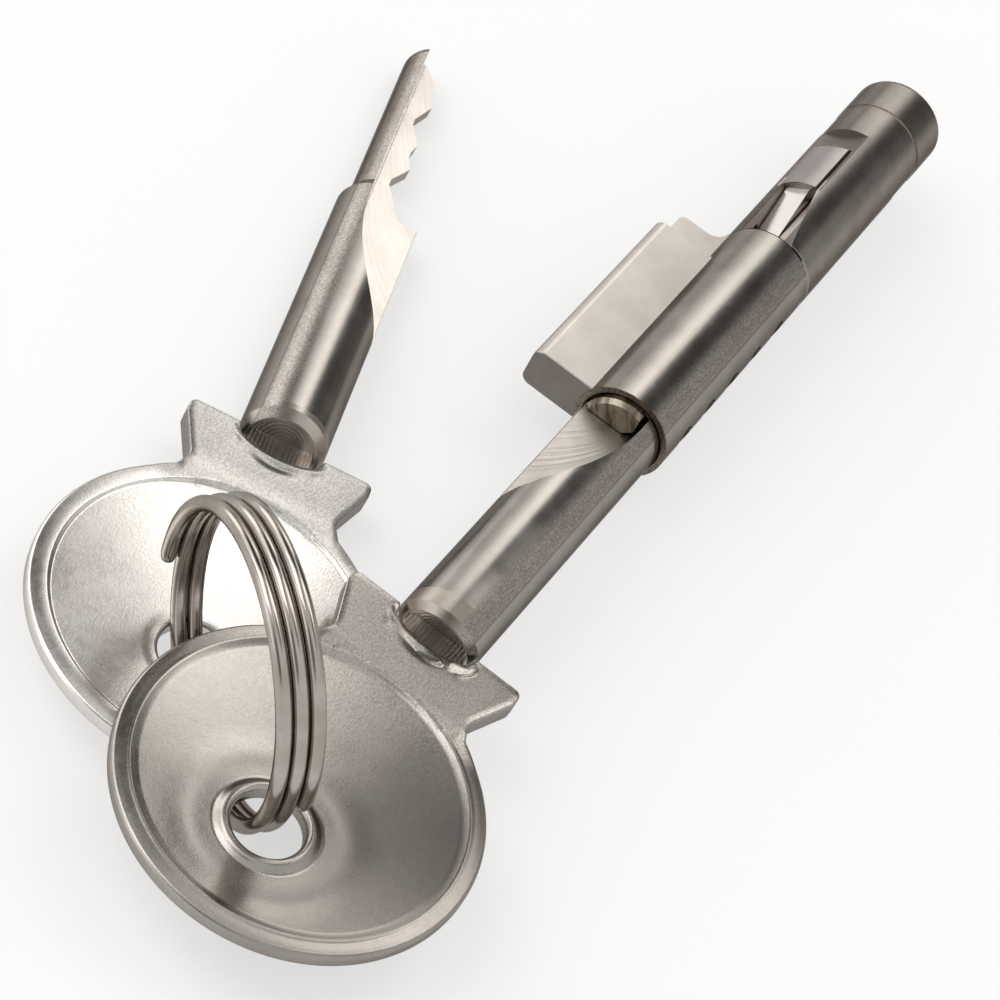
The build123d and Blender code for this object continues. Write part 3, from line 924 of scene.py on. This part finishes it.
def even_steps(path: Array, count: int) -> Array:
    """Points at even distances along a path of straight pieces.

    Args:
        path: n by 2.
        count: how many points, both ends among them.

    Returns:
        The points, count by 2.
    """
    reach = np.concatenate([[0.0], np.cumsum(np.linalg.norm(np.diff(path, axis=0), axis=1))])
    goal = np.linspace(0, reach[-1], count)
    return np.stack([np.interp(goal, reach, path[:, 0]), np.interp(goal, reach, path[:, 1])], 1)


@dataclass
class BowPlate:
    """The key's bow: a pressed disc with a soft rim, a dish, a lip round its hole and a neck with two horns.

    Attributes:
        middle: the disc's centre on the key's axis.
        radius: the disc's radius.
        crest: how far in from the disc's edge the rim is highest.
        rim_top: the rim's height above the middle plane.
        neck_top: the neck's height above it.
        dish_rim: the dish's height where the rim's slope ends.
        dish_floor: its height in the middle.
        back: the depth of the back sheet under the middle plane.
        hole: the place of the hole's centre.
        hole_radius: the hole's radius.
        lip_top: the height of the lip round the hole.
        front: the neck's front edge.
        horn: how far the horns reach to the side.
        horn_back: where the horn's tip ends towards the disc.
        waist: the place and half width of the waist.
        seat: the place and radius of the hollow for the shank's end.
        seat_half: half the width of that hollow.
        swell: the dish's rise by the hole, by the distance from the hole's wall, as a hill.
        moat: the shallow ring round that rise.
        ridge: the height and width of the fine ridge where the rim's slope ends.
        lip_lines: the two fine ridges on the lip.
        wear: the worn hollow round the seat, by the distance from the seat's arc: a wide hill and a fine one.
        knee: the radius at which the rows of points turn from circles to straight lines.
        bright_spot: the facet that the shank pressed into the neck on one side.
        dark_spot: the smaller one beside it.
    """

    middle: float = -16.75
    radius: float = 11.75
    crest: float = 1.1
    rim_top: float = 0.66
    neck_top: float = 0.82
    dish_rim: float = 0.50
    dish_floor: float = -0.30
    back: float = 0.46
    hole: float = -20.26
    hole_radius: float = 2.35
    lip_top: float = 0.46
    front: float = -0.75
    horn: float = 6.5
    horn_back: float = -1.9
    waist: Pair = (-5.35, 5.15)
    seat: Pair = (-2.25, 6.0)
    seat_half: float = 2.8
    swell: Hill = (0.12, 0.0, 2.3)
    moat: Hill = (-0.10, 2.6, 1.3)
    ridge: Pair = (0.05, 0.14)
    lip_lines: Tuple[Hill, Hill] = ((0.05, 0.34, 0.08), (0.03, 0.95, 0.08))
    wear: Tuple[Hill, Hill] = ((0.19, 0.8, 0.42), (0.10, 0.0, 0.2))
    knee: float = 8.8
    bright_spot: Tuple[float, ...] = (-2.14, -2.57, 0.62, -0.79, 1.0, 0.52, 0.08, 0.17)
    dark_spot: Tuple[float, ...] = (-2.95, -0.52, 0.14, -0.99, 0.95, 0.36, 0.055, -0.17)

    def outline(self) -> Array:
        """The plate's outline, from the middle of the seat round the disc and back, anticlockwise.

        The upper half of the neck is a path of rounded corners that meets the disc's circle. The disc
        follows from there, and the lower half mirrors the upper one.

        Returns:
            The points, n by 2.
        """
        inner = self.seat[0] + self.seat[1] - math.sqrt(self.seat[1] ** 2 - self.seat_half**2)
        turn = np.linspace(0, math.asin(self.seat_half / self.seat[1]), 26)
        seat = np.stack(
            [self.seat[0] + self.seat[1] * (1 - np.cos(turn)), self.seat[1] * np.sin(turn)], 1
        )
        corners = np.array([
            (inner, self.seat_half), (self.front, self.seat_half + 0.2), (self.front, self.horn),
            (self.horn_back, self.horn), self.waist, (-7.6, 6.3),
        ])
        pieces = [seat[:-1]]
        for index, radius in ((1, 0.15), (2, 0.5), (3, 0.45), (4, 1.1)):
            pieces.append(rounded_corner(corners[index - 1], corners[index], corners[index + 1], radius, 14))
        neck = np.concatenate(pieces)
        side = corners[5] - corners[4]
        share = np.linspace(0, 1, 400)[:, None]
        way = corners[4] + side * share
        meet = way[np.argmax(np.hypot(way[:, 0] - self.middle, way[:, 1]) < self.radius)]
        neck = even_steps(np.concatenate([neck, meet[None]]), 132)
        start = math.atan2(meet[1], meet[0] - self.middle)
        angle = np.linspace(start, math.pi, 112)[1:]
        disc = np.stack([self.middle + self.radius * np.cos(angle), self.radius * np.sin(angle)], 1)
        upper = np.concatenate([neck, disc])
        lower = upper[1:-1][::-1] * (1, -1)
        return np.concatenate([upper, lower])

    def edge_distance(self, points: Array, outline: Array) -> Array:
        """How far each point is from the outline: the least distance to its sides.

        Args:
            points: n by 2.
            outline: m by 2, closed.

        Returns:
            The distances, n.
        """
        start = outline
        side = np.roll(outline, -1, axis=0) - outline
        length = np.maximum((side**2).sum(1), 1e-12)
        found = []
        for block in np.array_split(points, max(1, len(points) // 1500)):
            away = block[:, None, :] - start[None]
            share = np.clip((away * side).sum(2) / length, 0, 1)
            rest = away - share[..., None] * side
            found.append(np.sqrt((rest**2).sum(2).min(1)))
        return np.concatenate(found)

    def neckness(self, x: Array) -> Array:
        """0 on the disc and 1 on the neck."""
        return smooth(x, -8.2, -5.8)

    def levels(self, x: Array, y: Array) -> Tuple[Array, Array, float, Array]:
        """What both faces are worked out from.

        Args:
            x: along the key.
            y: across it.

        Returns:
            The distances from the disc's centre and from the hole's wall, the radius inside the rim, and
            the rim's height, which goes over into the neck's.
        """
        away = np.hypot(x - self.middle, y)
        near = np.hypot(x - self.hole, y) - self.hole_radius
        level = self.rim_top + (self.neck_top - self.rim_top) * self.neckness(x)
        return away, near, self.radius - self.crest, level

    def shoulder(self, x: Array, edge: Array) -> Array:
        """How far the face drops towards the outline: a parabola, wide on the disc and narrow on the neck.

        Args:
            x: along the key.
            edge: distance from the outline.

        Returns:
            The drops.
        """
        neck = self.neckness(x)
        width = self.crest * (1 - neck) + 0.5 * neck
        drop = 0.20 * (1 - neck) + 0.07 * neck
        return drop * np.maximum(0.0, 1 - edge / width) ** 2

    def dent(self, x: Array, y: Array) -> Array:
        """The worn hollow round the seat: a soft groove that follows the seat's arc.

        Args:
            x: along the key.
            y: across it.

        Returns:
            The depths.
        """
        away = np.hypot(x - self.seat[0] - self.seat[1], y) - self.seat[1]
        here = 1 - smooth(np.abs(y), 2.6, 3.5)
        deeper = 0.55 + 0.45 * np.cos(y * 1.45)
        return (deeper * hill(away, self.wear[0]) + hill(away, self.wear[1])) * here

    def pressed_spot(self, x: Array, y: Array, spot: Sequence[float]) -> Tuple[Array, Array]:
        """An oval facet: a plane through the oval's middle, faded out at its edge.

        Args:
            x: along the key.
            y: across it.
            spot: the middle, the long way's direction, the half length and half width, and the slopes
                along the key and across it.

        Returns:
            Where the facet is, from 0 to 1, and its height.
        """
        mid_x, mid_y, way_x, way_y, long, wide, slope_x, slope_y = spot
        ahead = (x - mid_x) * way_x + (y - mid_y) * way_y
        aside = (y - mid_y) * way_x - (x - mid_x) * way_y
        where = smooth(1.2 - np.hypot(ahead / long, aside / wide), 0.0, 0.4)
        return where, where * (slope_x * (x - mid_x) + slope_y * (y - mid_y))

    def top(self, x: Array, y: Array, edge: Array) -> Array:
        """Height of the dished face.

        Outside the rim's inner slope it is the rim's level less the shoulder. Inside, a shallow bowl
        falls towards the hole, where a lip rises round it.

        Args:
            x: along the key.
            y: across it.
            edge: distance from the outline.

        Returns:
            The heights.
        """
        away, near, inner, level = self.levels(x, y)
        rise = self.dish_rim - self.dish_floor
        bowl = self.dish_floor + rise * np.clip(away / (inner - 0.5), 0, 1) ** 2
        bowl += hill(near, self.swell) + hill(near, self.moat)
        slope = smooth(away, inner - 0.62, inner - 0.05)
        face = bowl + (level - bowl) * slope
        face += hill(away, (self.ridge[0], inner, self.ridge[1])) * (1 - self.neckness(x))
        lip = self.lip_top * (1 - smooth(near, 0.45, 1.15))
        ring = hill(near, self.lip_lines[0]) + hill(near, self.lip_lines[1])
        face = face * smooth(near, 0.2, 1.2) + lip + ring
        face -= 0.3 * np.maximum(0.0, 1 - near / 0.3) ** 2
        bright, lift = self.pressed_spot(x, y, self.bright_spot)
        dark, drop = self.pressed_spot(x, y, self.dark_spot)
        worn = self.dent(x, y) * (1 - 0.8 * bright) * (1 - 0.5 * dark)
        return face - self.shoulder(x, edge) - worn + lift + drop

    def bottom(self, x: Array, y: Array, edge: Array) -> Array:
        """Height of the back face: the rim's level, and a flat sheet a little higher inside it.

        Args:
            x: along the key.
            y: across it.
            edge: distance from the outline.

        Returns:
            The heights.
        """
        away, near, inner, level = self.levels(x, y)
        sheet = self.back + 0.34 * (1 - (away / inner) ** 2)
        slope = smooth(away, inner - 0.42, inner - 0.1)
        depth = sheet + (level - sheet) * slope
        depth += 0.05 * (1 - smooth(near, 0.5, 1.1))
        depth -= 0.22 * np.maximum(0.0, 1 - near / 0.3) ** 2
        return -(depth - self.shoulder(x, edge) - self.dent(x, y))

    def mesh(self, frame_of_key: Frame) -> Tuple[Array, Array]:
        """The whole closed plate.

        Each point of the outline gives one loop: out over the top, down the rounded edge, back under
        the bottom and up the hole's wall. Near the hole the rows are circles whose centre moves from
        the hole's to the disc's as they grow. Outside them the rows run straight to the outline.

        Args:
            frame_of_key: where the key lies.

        Returns:
            The vertices and the faces.
        """
        rim = self.outline()
        ahead = np.roll(rim, -1, axis=0) - np.roll(rim, 1, axis=0)
        ahead /= np.linalg.norm(ahead, axis=1, keepdims=True)
        outward = np.stack([ahead[:, 1], -ahead[:, 0]], 1)
        neck = self.neckness(rim[:, 0])
        soft = 0.32 * (1 - neck) + 0.16 * neck
        inset = rim - outward * soft[:, None]
        centre = np.array([self.middle, 0.0])
        way = (inset - centre) / np.linalg.norm(inset - centre, axis=1, keepdims=True)
        grow = np.linspace(0, 1, 40) ** 1.7
        hub = np.array([self.hole, 0.0])
        middles = hub + (centre - hub) * grow[:, None]
        radii = self.hole_radius + (self.knee - self.hole_radius) * grow
        first = middles[None] + way[:, None, :] * radii[None, :, None]
        share = 1 - (1 - np.linspace(0, 1, 47)[1:]) ** 1.25
        base = centre + way * self.knee
        second = base[:, None, :] + (inset - base)[:, None, :] * share[None, :, None]
        flat = np.concatenate([first, second], 1)
        edge = self.edge_distance(flat.reshape(-1, 2), rim).reshape(flat.shape[:2])
        x, y = flat[..., 0], flat[..., 1]
        top = self.top(x, y, edge)
        low = self.bottom(x, y, edge)
        bend = np.linspace(0, math.pi / 2, 7)[1:]
        out = np.sin(bend)[None, :, None] * soft[:, None, None] * outward[:, None, :]
        wall = inset[:, None, :] + out
        upper = top[:, -1:] - (1 - np.cos(bend))[None] * soft[:, None]
        lower = low[:, -1:] + (1 - np.cos(bend))[None] * soft[:, None]
        hole_wall = np.linspace(0, 1, 6)[1:-1]
        bore = first[:, :1] + np.zeros((1, len(hole_wall), 1))
        bore_height = low[:, :1] + (top[:, :1] - low[:, :1]) * hole_wall[None]
        plan = np.concatenate([flat, wall, wall[:, ::-1], flat[:, ::-1], bore], 1)
        height = np.concatenate([top, upper, lower[:, ::-1], low[:, ::-1], bore_height], 1)
        points = np.concatenate([plan, height[..., None]], 2)
        return frame_of_key.place(points.reshape(-1, 3)), grid_faces(*points.shape[:2], True)


@dataclass
class FlatKey:
    """A key with a pressed bow and a round shank, milled and cut.

    Attributes:
        prefix: the start of the key's node names.
        body: the body that the key rides on.
        spot: the key's own frame, its origin where bow and shank meet.
        bow_light: the colour of the bow's brighter patches; the spare key's is about twice the key's, a
            painted lighter copy of the same plating.
        neck_shade_factor: the factor of the painted shade on the neck beside the disc; at 1 a painted side
            shade goes on the bow instead.
        cutter: the place, height and radius of the disc cutter that milled the flats.
        shank: the shank's radius.
        web: the half thickness of the web, which the flats lie on.
        milled_from: where the flats begin.
        step: where the shank's back narrows to the blade's.
        backs: how far from the axis the flats reach, on the shank and on the blade.
        hollow: the radius of the hollow in the shank's end, inside its bevel.
        ring_turn: how far a wave goes on per millimetre in the hollow's turned rings, in radians.
        plate: the bow's sizes.
    """

    prefix: str
    body: str
    spot: Frame
    bow_light: Colour = (0.39, 0.36, 0.333)
    neck_shade_factor: float = 1.0
    cutter: Triple = (22.5, 15.7, 17.0)
    shank: float = 3.0
    web: float = 0.51
    milled_from: float = 9.0
    step: Pair = (23.4, 24.0)
    backs: Pair = (2.93, 2.36)
    hollow: float = 2.5
    ring_turn: float = 24.0
    plate: BowPlate = field(default_factory=BowPlate)

    def milled(self, sheet: NodeSheet, normal: Socket) -> Socket:
        """Add the cutter's arcs on the flats, the turned end and the sandy grain.

        A point's arc is told by how far along the cutter's centre was: its place plus the root of the
        cutter's radius squared less its distance across squared.

        Args:
            sheet: the material's sheet.
            normal: the normal socket so far.

        Returns:
            The normal socket.
        """
        along, across, height = sheet.local(self.spot)
        drop = sheet.math("SUBTRACT", self.cutter[1], across)
        square = sheet.math("SUBTRACT", self.cutter[2] ** 2, sheet.math("MULTIPLY", drop, drop))
        strip = sheet.add("ShaderNodeCombineXYZ")
        sheet.link(sheet.math("ADD", along, sheet.math("SQRT", square)), strip.inputs[0])
        lines = sheet.noise(strip.outputs[0], 1.3, 2.0, 0.65)
        away = sheet.length(across, height)
        flat = sheet.all_of(
            sheet.below(sheet.math("ABSOLUTE", height), self.web), sheet.above(along, self.milled_from),
            sheet.below(away, sheet.span(along, *self.step, *self.backs)),
        )
        sheet.repaint(flat, (1.72, 1.72, 1.73), 0.36)
        sheet.repaint(sheet.all_of(flat, sheet.span(lines, 0.5, 0.72)), (0.90, 0.885, 0.87), 0.36)
        normal = self.turned_end(sheet, along, across, away, normal)
        normal = sheet.bump(sheet.math("MULTIPLY", lines, flat), 0.035, 0.75, normal)
        return sheet.sandy(across, self.shank, normal)

    def turned_end(
        self, sheet: NodeSheet, along: Socket, across: Socket, away: Socket, normal: Socket
    ) -> Socket:
        """Paint the shank's end: painted highlights on the fine turned rings in its hollow, stronger towards
        one side, painted light on one side of the hollow, a painted highlight on the bevel's lit side and a
        painted shade patch beside it.

        Args:
            sheet: the material's sheet.
            along: the place along the key.
            across: the place across it.
            away: the distance from its axis.
            normal: the normal socket so far.

        Returns:
            The normal socket.
        """
        turned = sheet.math("SINE", sheet.math("MULTIPLY", away, self.ring_turn))
        hollow = sheet.all_of(sheet.below(along, 0.2), sheet.below(away, self.hollow))
        # painted highlights along the turned rings, stronger towards one side
        rings = sheet.all_of(
            hollow, sheet.span(away, 1.1, 1.7, 0.1, 1.0), sheet.span(across, -0.9, 0.6, 1.0, 0.25),
            sheet.span(turned, 0.2, 0.95),
        )
        # painted light on one side of the hollow
        painted_hollow_light = sheet.all_of(hollow, sheet.span(away, 1.25, 1.6), sheet.span(across, 0.3, 1.5))
        bevel = sheet.all_of(sheet.span(along, 0.58, 0.5), sheet.above(away, self.hollow - 0.02))
        # painted highlight on the bevel's lit side
        lit = sheet.all_of(bevel, sheet.span(across, 0.0, 0.8))
        # painted shade: a dark patch on the bevel where the shank's dark band is mirrored
        patch = sheet.all_of(bevel, sheet.span(across, -1.3, -0.7), sheet.span(across, 0.1, -0.4))
        for where, tint, roughness in (
            (hollow, (1.05, 1.04, 1.04), 0.28), (rings, (2.0, 2.02, 2.05), 0.3),
            (painted_hollow_light, (1.75, 1.73, 1.72), 0.34), (lit, (1.32, 1.27, 1.22), 0.34),
            (patch, (0.68, 0.64, 0.60), 0.3),
        ):
            sheet.repaint(where, tint, roughness)
        return sheet.bump(sheet.math("MULTIPLY", turned, hollow), 0.010, 0.9, normal)

    def neck_shade_and_grain(self, sheet: NodeSheet, normal: Socket) -> Socket:
        """Paint shade on the spare key's neck, or else a painted shade over the key's bow that deepens
        towards one side, and lay a grain that is strongest on the neck.

        Args:
            sheet: the material's sheet.
            normal: the normal socket so far.

        Returns:
            The normal socket.
        """
        along, across, _ = sheet.local(self.spot)
        if self.neck_shade_factor < 1.0:
            # painted shade on the spare key's neck
            sheet.repaint(sheet.span(along, -8.5, -4.5), (self.neck_shade_factor,) * 3, 0.32)
        else:
            # painted shade over the key's bow, deeper towards one side
            dull = sheet.all_of(sheet.span(across, 1.0, -4.0), sheet.span(along, -6.5, -9.0))
            sheet.repaint(dull, (0.84, 0.83, 0.825), 0.28)
        grains = sheet.speckle(sheet.span(along, -13.0, -5.0, 0.2, 1.0), 1.18, 0.80)
        return sheet.bump(grains, 0.004, 0.8, normal)

    def build(self) -> None:
        """Dress the shank and put the pressed bow in the plain one's place."""
        shank = PlatedMetal(
            f"{self.prefix}_shank_plate", (0.31, 0.285, 0.262), (0.37, 0.343, 0.318), (0.18, 0.28),
            speckle=0.0030, edge=0.28,
        ).make(self.milled)
        dull = tuple(0.9 * part for part in self.bow_light)
        bow = PlatedMetal(
            f"{self.prefix}_bow_plate", dull, self.bow_light, (0.20, 0.32),
            Grain.PRESSED, pits=0.0022, marks=0.0034, speckle=0.0036,
        ).make(self.neck_shade_and_grain)
        skin(f"{self.prefix}_shank", shank)
        points, faces = self.plate.mesh(self.spot)
        piece = new_piece(f"{self.prefix}_pressed_bow", points, faces, bow)
        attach(piece, self.body)
        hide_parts(f"{self.prefix}_bow")
        log.info("%s: bow of %d faces", self.prefix, len(faces))


@dataclass
class ReflectorCard:
    """A bent card over the lock, whose streaks its round parts mirror. Only glossy surfaces see it.

    Attributes:
        radius: how far it is from the lock's axis, in millimetres.
        reach: where it starts and ends along the axis.
        half_angle: how far it goes down on either side of the top, in degrees.
        soft: over how many millimetres and degrees its edges fade.
        near: pairs of an angle and a brightness, over the barrel and the shanks.
        far: the same over the tail.
        change: where the near streaks give way to the far ones.
        cells: how many points it has along the axis and round it.
    """

    radius: float = 70.0
    reach: Pair = (31.5, 170.0)
    half_angle: float = 74.0
    soft: Pair = (3.0, 10.0)
    near: Tuple[Pair, ...] = (
        (-74, 0.66), (-46, 0.80), (-38, 0.36), (-30, 0.08), (-2, 0.03), (8, 0.12), (15, 2.5), (27, 2.9),
        (39, 2.0), (51, 1.25), (64, 0.85), (74, 0.75),
    )
    far: Tuple[Pair, ...] = (
        (-74, 0.30), (-64, 0.14), (-12, 0.10), (-3, 0.25), (6, 1.0), (15, 1.65), (27, 1.7), (44, 1.4),
        (60, 1.35), (74, 1.35),
    )
    change: Pair = (100.0, 106.0)
    cells: Tuple[int, int] = (40, 60)

    def streaks(self, sheet: NodeSheet, angle: Socket, stops: Sequence[Pair]) -> Socket:
        """A brightness that follows an angle by straight steps between stops.

        Args:
            sheet: the material's sheet.
            angle: the socket with the share of the way from one edge to the other.
            stops: pairs of an angle in degrees and a brightness.

        Returns:
            The colour socket.
        """
        ramp = sheet.add("ShaderNodeValToRGB")
        marks = ramp.color_ramp.elements
        while len(marks) < len(stops):
            marks.new(0.5)
        for mark, (degrees, bright) in zip(marks, stops):
            mark.position = (degrees + self.half_angle) / (2 * self.half_angle)
            mark.color = (bright, bright * 0.985, bright * 0.955, 1.0)
        sheet.link(angle, ramp.inputs[0])
        return ramp.outputs["Color"]

    def build(self) -> None:
        """Bend the card: its points are the radius times sine and cosine of the angle from the top."""
        rows, columns = self.cells
        along = np.repeat(np.linspace(*self.reach, rows), columns)
        turn = np.radians(np.tile(np.linspace(-self.half_angle, self.half_angle, columns), rows))
        grid = np.stack([along, self.radius * np.sin(turn), self.radius * np.cos(turn)], 1)
        start = np.arange(rows - 1)[:, None] * columns + np.arange(columns - 1)
        quads = np.stack([start, start + columns, start + columns + 1, start + 1], -1).reshape(-1, 4)
        sheet = NodeSheet.of_material("card_streaks", "Emission")
        x, y, z = sheet.local(Frame())
        angle = sheet.math("ARCTAN2", y, z)
        edge = math.radians(self.half_angle)
        share = sheet.span(angle, -edge, edge)
        colour = sheet.mix_colours(
            sheet.span(x, *self.change),
            self.streaks(sheet, share, self.near), self.streaks(sheet, share, self.far),
        )
        sheet.link(colour, sheet.shader.inputs["Color"])
        ends = sheet.span(x, self.reach[0], self.reach[0] + self.soft[0])
        sides = sheet.span(sheet.math("ABSOLUTE", angle), edge, edge - math.radians(self.soft[1]))
        clear = sheet.add("ShaderNodeBsdfTransparent")
        sheet.show_mix(sheet.math("MULTIPLY", ends, sides), clear, sheet.shader)
        card = new_piece("reflector_card", grid, quads, sheet.owner)
        for ray in ("camera", "diffuse", "shadow", "transmission"):
            setattr(card, f"visible_{ray}", False)
        log.info("reflector card: %d faces", len(quads))


@dataclass
class Studio:
    """The pale floor, the soft lights and the camera of the photograph.

    The room's light is even, with soft round patches: the way to a patch's middle, the cosines at
    which it begins and is full, and its colour. Later patches lie over earlier ones.

    Attributes:
        eye: where the camera stands, in millimetres.
        right: the camera's right.
        up: the camera's up.
        back: the way from the object to the camera.
        lens: the focal length in millimetres on a 36 mm sensor.
        floor_drop: how far the floor lies under the origin, in millimetres.
        floor_half: half the floor's width.
        floor_glow: the share of its own light in what the camera and the mirrors see of it.
        room: the room's even light.
        shades: the patches.
    """

    eye: Triple = (-178.0, -22.5, 178.4)
    right: Triple = (0.49498895, -0.79582225, 0.34878775)
    up: Triple = (0.54264912, 0.59663968, 0.59123009)
    back: Triple = (-0.67861467, -0.10338299, 0.72718229)
    lens: float = 136.55
    floor_drop: float = 5.6
    floor_half: float = 1600.0
    floor_glow: float = 0.55
    room: Colour = (0.95, 0.95, 0.94)
    shades: Tuple[Tuple[Triple, float, float, Colour], ...] = (
        ((0.80, 0.0, 0.25), 0.45, 0.90, (0.56, 0.545, 0.53)),
        ((0.60, 0.10, 0.80), 0.90, 0.985, (0.86, 0.85, 0.83)),
        ((0.48, -0.24, 0.85), 0.937, 0.988, (2.8, 2.76, 2.67)),
        ((0.52, 0.42, 0.75), 0.928, 0.978, (0.05, 0.048, 0.046)),
        ((0.78, 0.27, 0.57), 0.965, 0.99, (0.55, 0.53, 0.51)),
        ((0.80, -0.10, 0.59), 0.965, 0.99, (0.60, 0.58, 0.55)),
        ((0.715, 0.06, 0.70), 0.99, 0.998, (1.7, 1.67, 1.62)),
        ((0.92, -0.36, 0.12), 0.94, 0.985, (0.15, 0.14, 0.13)),
        ((0.885, 0.405, 0.24), 0.95, 0.985, (0.25, 0.24, 0.23)),
        ((0.155, -0.41, 0.90), 0.96, 0.99, (0.35, 0.34, 0.33)),
        ((0.14, 0.85, 0.52), 0.95, 0.985, (1.8, 1.78, 1.72)),
        ((0.457, 0.854, 0.262), 0.955, 0.985, (2.6, 2.56, 2.5)),
        ((0.02, 0.42, 0.91), 0.93, 0.985, (0.35, 0.34, 0.33)),
        ((-0.74, 0.05, 0.67), 0.93, 0.98, (0.25, 0.24, 0.23)),
        ((-0.62, 0.72, 0.30), 0.93, 0.98, (1.8, 1.78, 1.72)),
    )

    def camera(self) -> None:
        """Stand the camera where the photograph was taken from."""
        data = bpy.data.cameras.new("photo_camera")
        data.sensor_width = 36.0
        data.lens = self.lens
        data.clip_start, data.clip_end = 0.01, 10.0
        eye = bpy.data.objects.new("photo_camera", data)
        bpy.context.scene.collection.objects.link(eye)
        axes = Matrix((self.right, self.up, self.back)).transposed().to_4x4()
        eye.matrix_world = Matrix.Translation(Vector(self.eye) * MM) @ axes
        bpy.context.scene.camera = eye

    def lamp(self, name: str, toward: Triple, distance: float, size: Pair, power: float) -> None:
        """An area lamp that looks at the object.

        Args:
            name: the lamp's name.
            toward: the direction from the object to the lamp.
            distance: how far away it is, in metres.
            size: its width and height in metres.
            power: its power in watts.
        """
        data = bpy.data.lights.new(name, "AREA")
        data.shape = "RECTANGLE"
        data.size, data.size_y = size
        data.energy = power
        lamp = bpy.data.objects.new(name, data)
        bpy.context.scene.collection.objects.link(lamp)
        way = Vector(toward).normalized()
        lamp.location = way * distance
        lamp.rotation_mode = "QUATERNION"
        lamp.rotation_quaternion = way.to_track_quat("Z", "Y")

    def floor(self) -> None:
        """A wide pale floor that keeps the object's soft shadow."""
        half, level = self.floor_half, -self.floor_drop
        corners = [(-half, -half, level), (half, -half, level), (half, half, level), (-half, half, level)]
        sheet = NodeSheet.of_material("floor_paper")
        tone = sheet.noise(sheet.place(), 0.02, 2.0)
        sheet.link(sheet.mix_colours(tone, (0.88,) * 3, (0.90,) * 3), sheet.shader.inputs["Base Color"])
        sheet.shader.inputs["Roughness"].default_value = 0.9
        seen = sheet.add("ShaderNodeLightPath")
        lit = sheet.math("ADD", seen.outputs["Is Camera Ray"], seen.outputs["Is Glossy Ray"])
        lit = sheet.math("ADD", lit, seen.outputs["Is Transmission Ray"], clamp=True)
        glow = sheet.add("ShaderNodeEmission")
        sheet.show_mix(sheet.math("MULTIPLY", lit, self.floor_glow), sheet.shader, glow)
        new_piece("studio_floor", corners, [(0, 1, 2, 3)], sheet.owner)

    def surroundings(self) -> None:
        """The room's light: each patch laid over the last by the cosine between its way and the ray's."""
        world = bpy.data.worlds.new("studio_room")
        bpy.context.scene.world = world
        sheet = NodeSheet(world, "Background", "OutputWorld")
        rays = sheet.add("ShaderNodeTexCoord").outputs["Generated"]
        colour = self.room
        for way, start, stop, shade in self.shades:
            cosine = sheet.dot(rays, tuple(Vector(way).normalized()))
            share = sheet.span(cosine, start, stop, ease="SMOOTHSTEP")
            colour = sheet.mix_colours(share, colour, shade)
        sheet.link(colour, sheet.shader.inputs["Color"])

    def build(self) -> None:
        """Set up the camera, the floor, the room and the lamps."""
        self.camera()
        self.floor()
        self.surroundings()
        ReflectorCard().build()
        self.lamp("top_lamp", (-0.25, 0.62, 0.95), 0.7, (0.40, 0.40), 1.2)
        bpy.context.scene.view_settings.view_transform = "Standard"
        log.info("studio ready")


def main() -> None:
    """Build the studio and every sub-assembly."""
    logging.basicConfig(level=logging.INFO, format="%(name)s: %(message)s")
    Studio().build()
    LockBody().build()
    FlatKey("key", "key", Frame((-23.48, 0.0, 0.0))).build()
    hole, way = np.array((-35.561, 10.637, -2.255)), (0.9581, 0.2846, -0.0320)
    junction = hole + BowPlate.hole * -np.array(way)
    spare_spot = Frame(tuple(junction), way, (-0.0417, 0.0282, -0.9987))
    # the spare key's bow colour is a painted lighter copy of the key's plating, and its neck gets a painted
    # shade of 0.5
    FlatKey("spare_key", "spare_key", spare_spot, (0.75, 0.715, 0.68), 0.50).build()
    SplitRing().build()


if __name__ == "__main__":
    main()
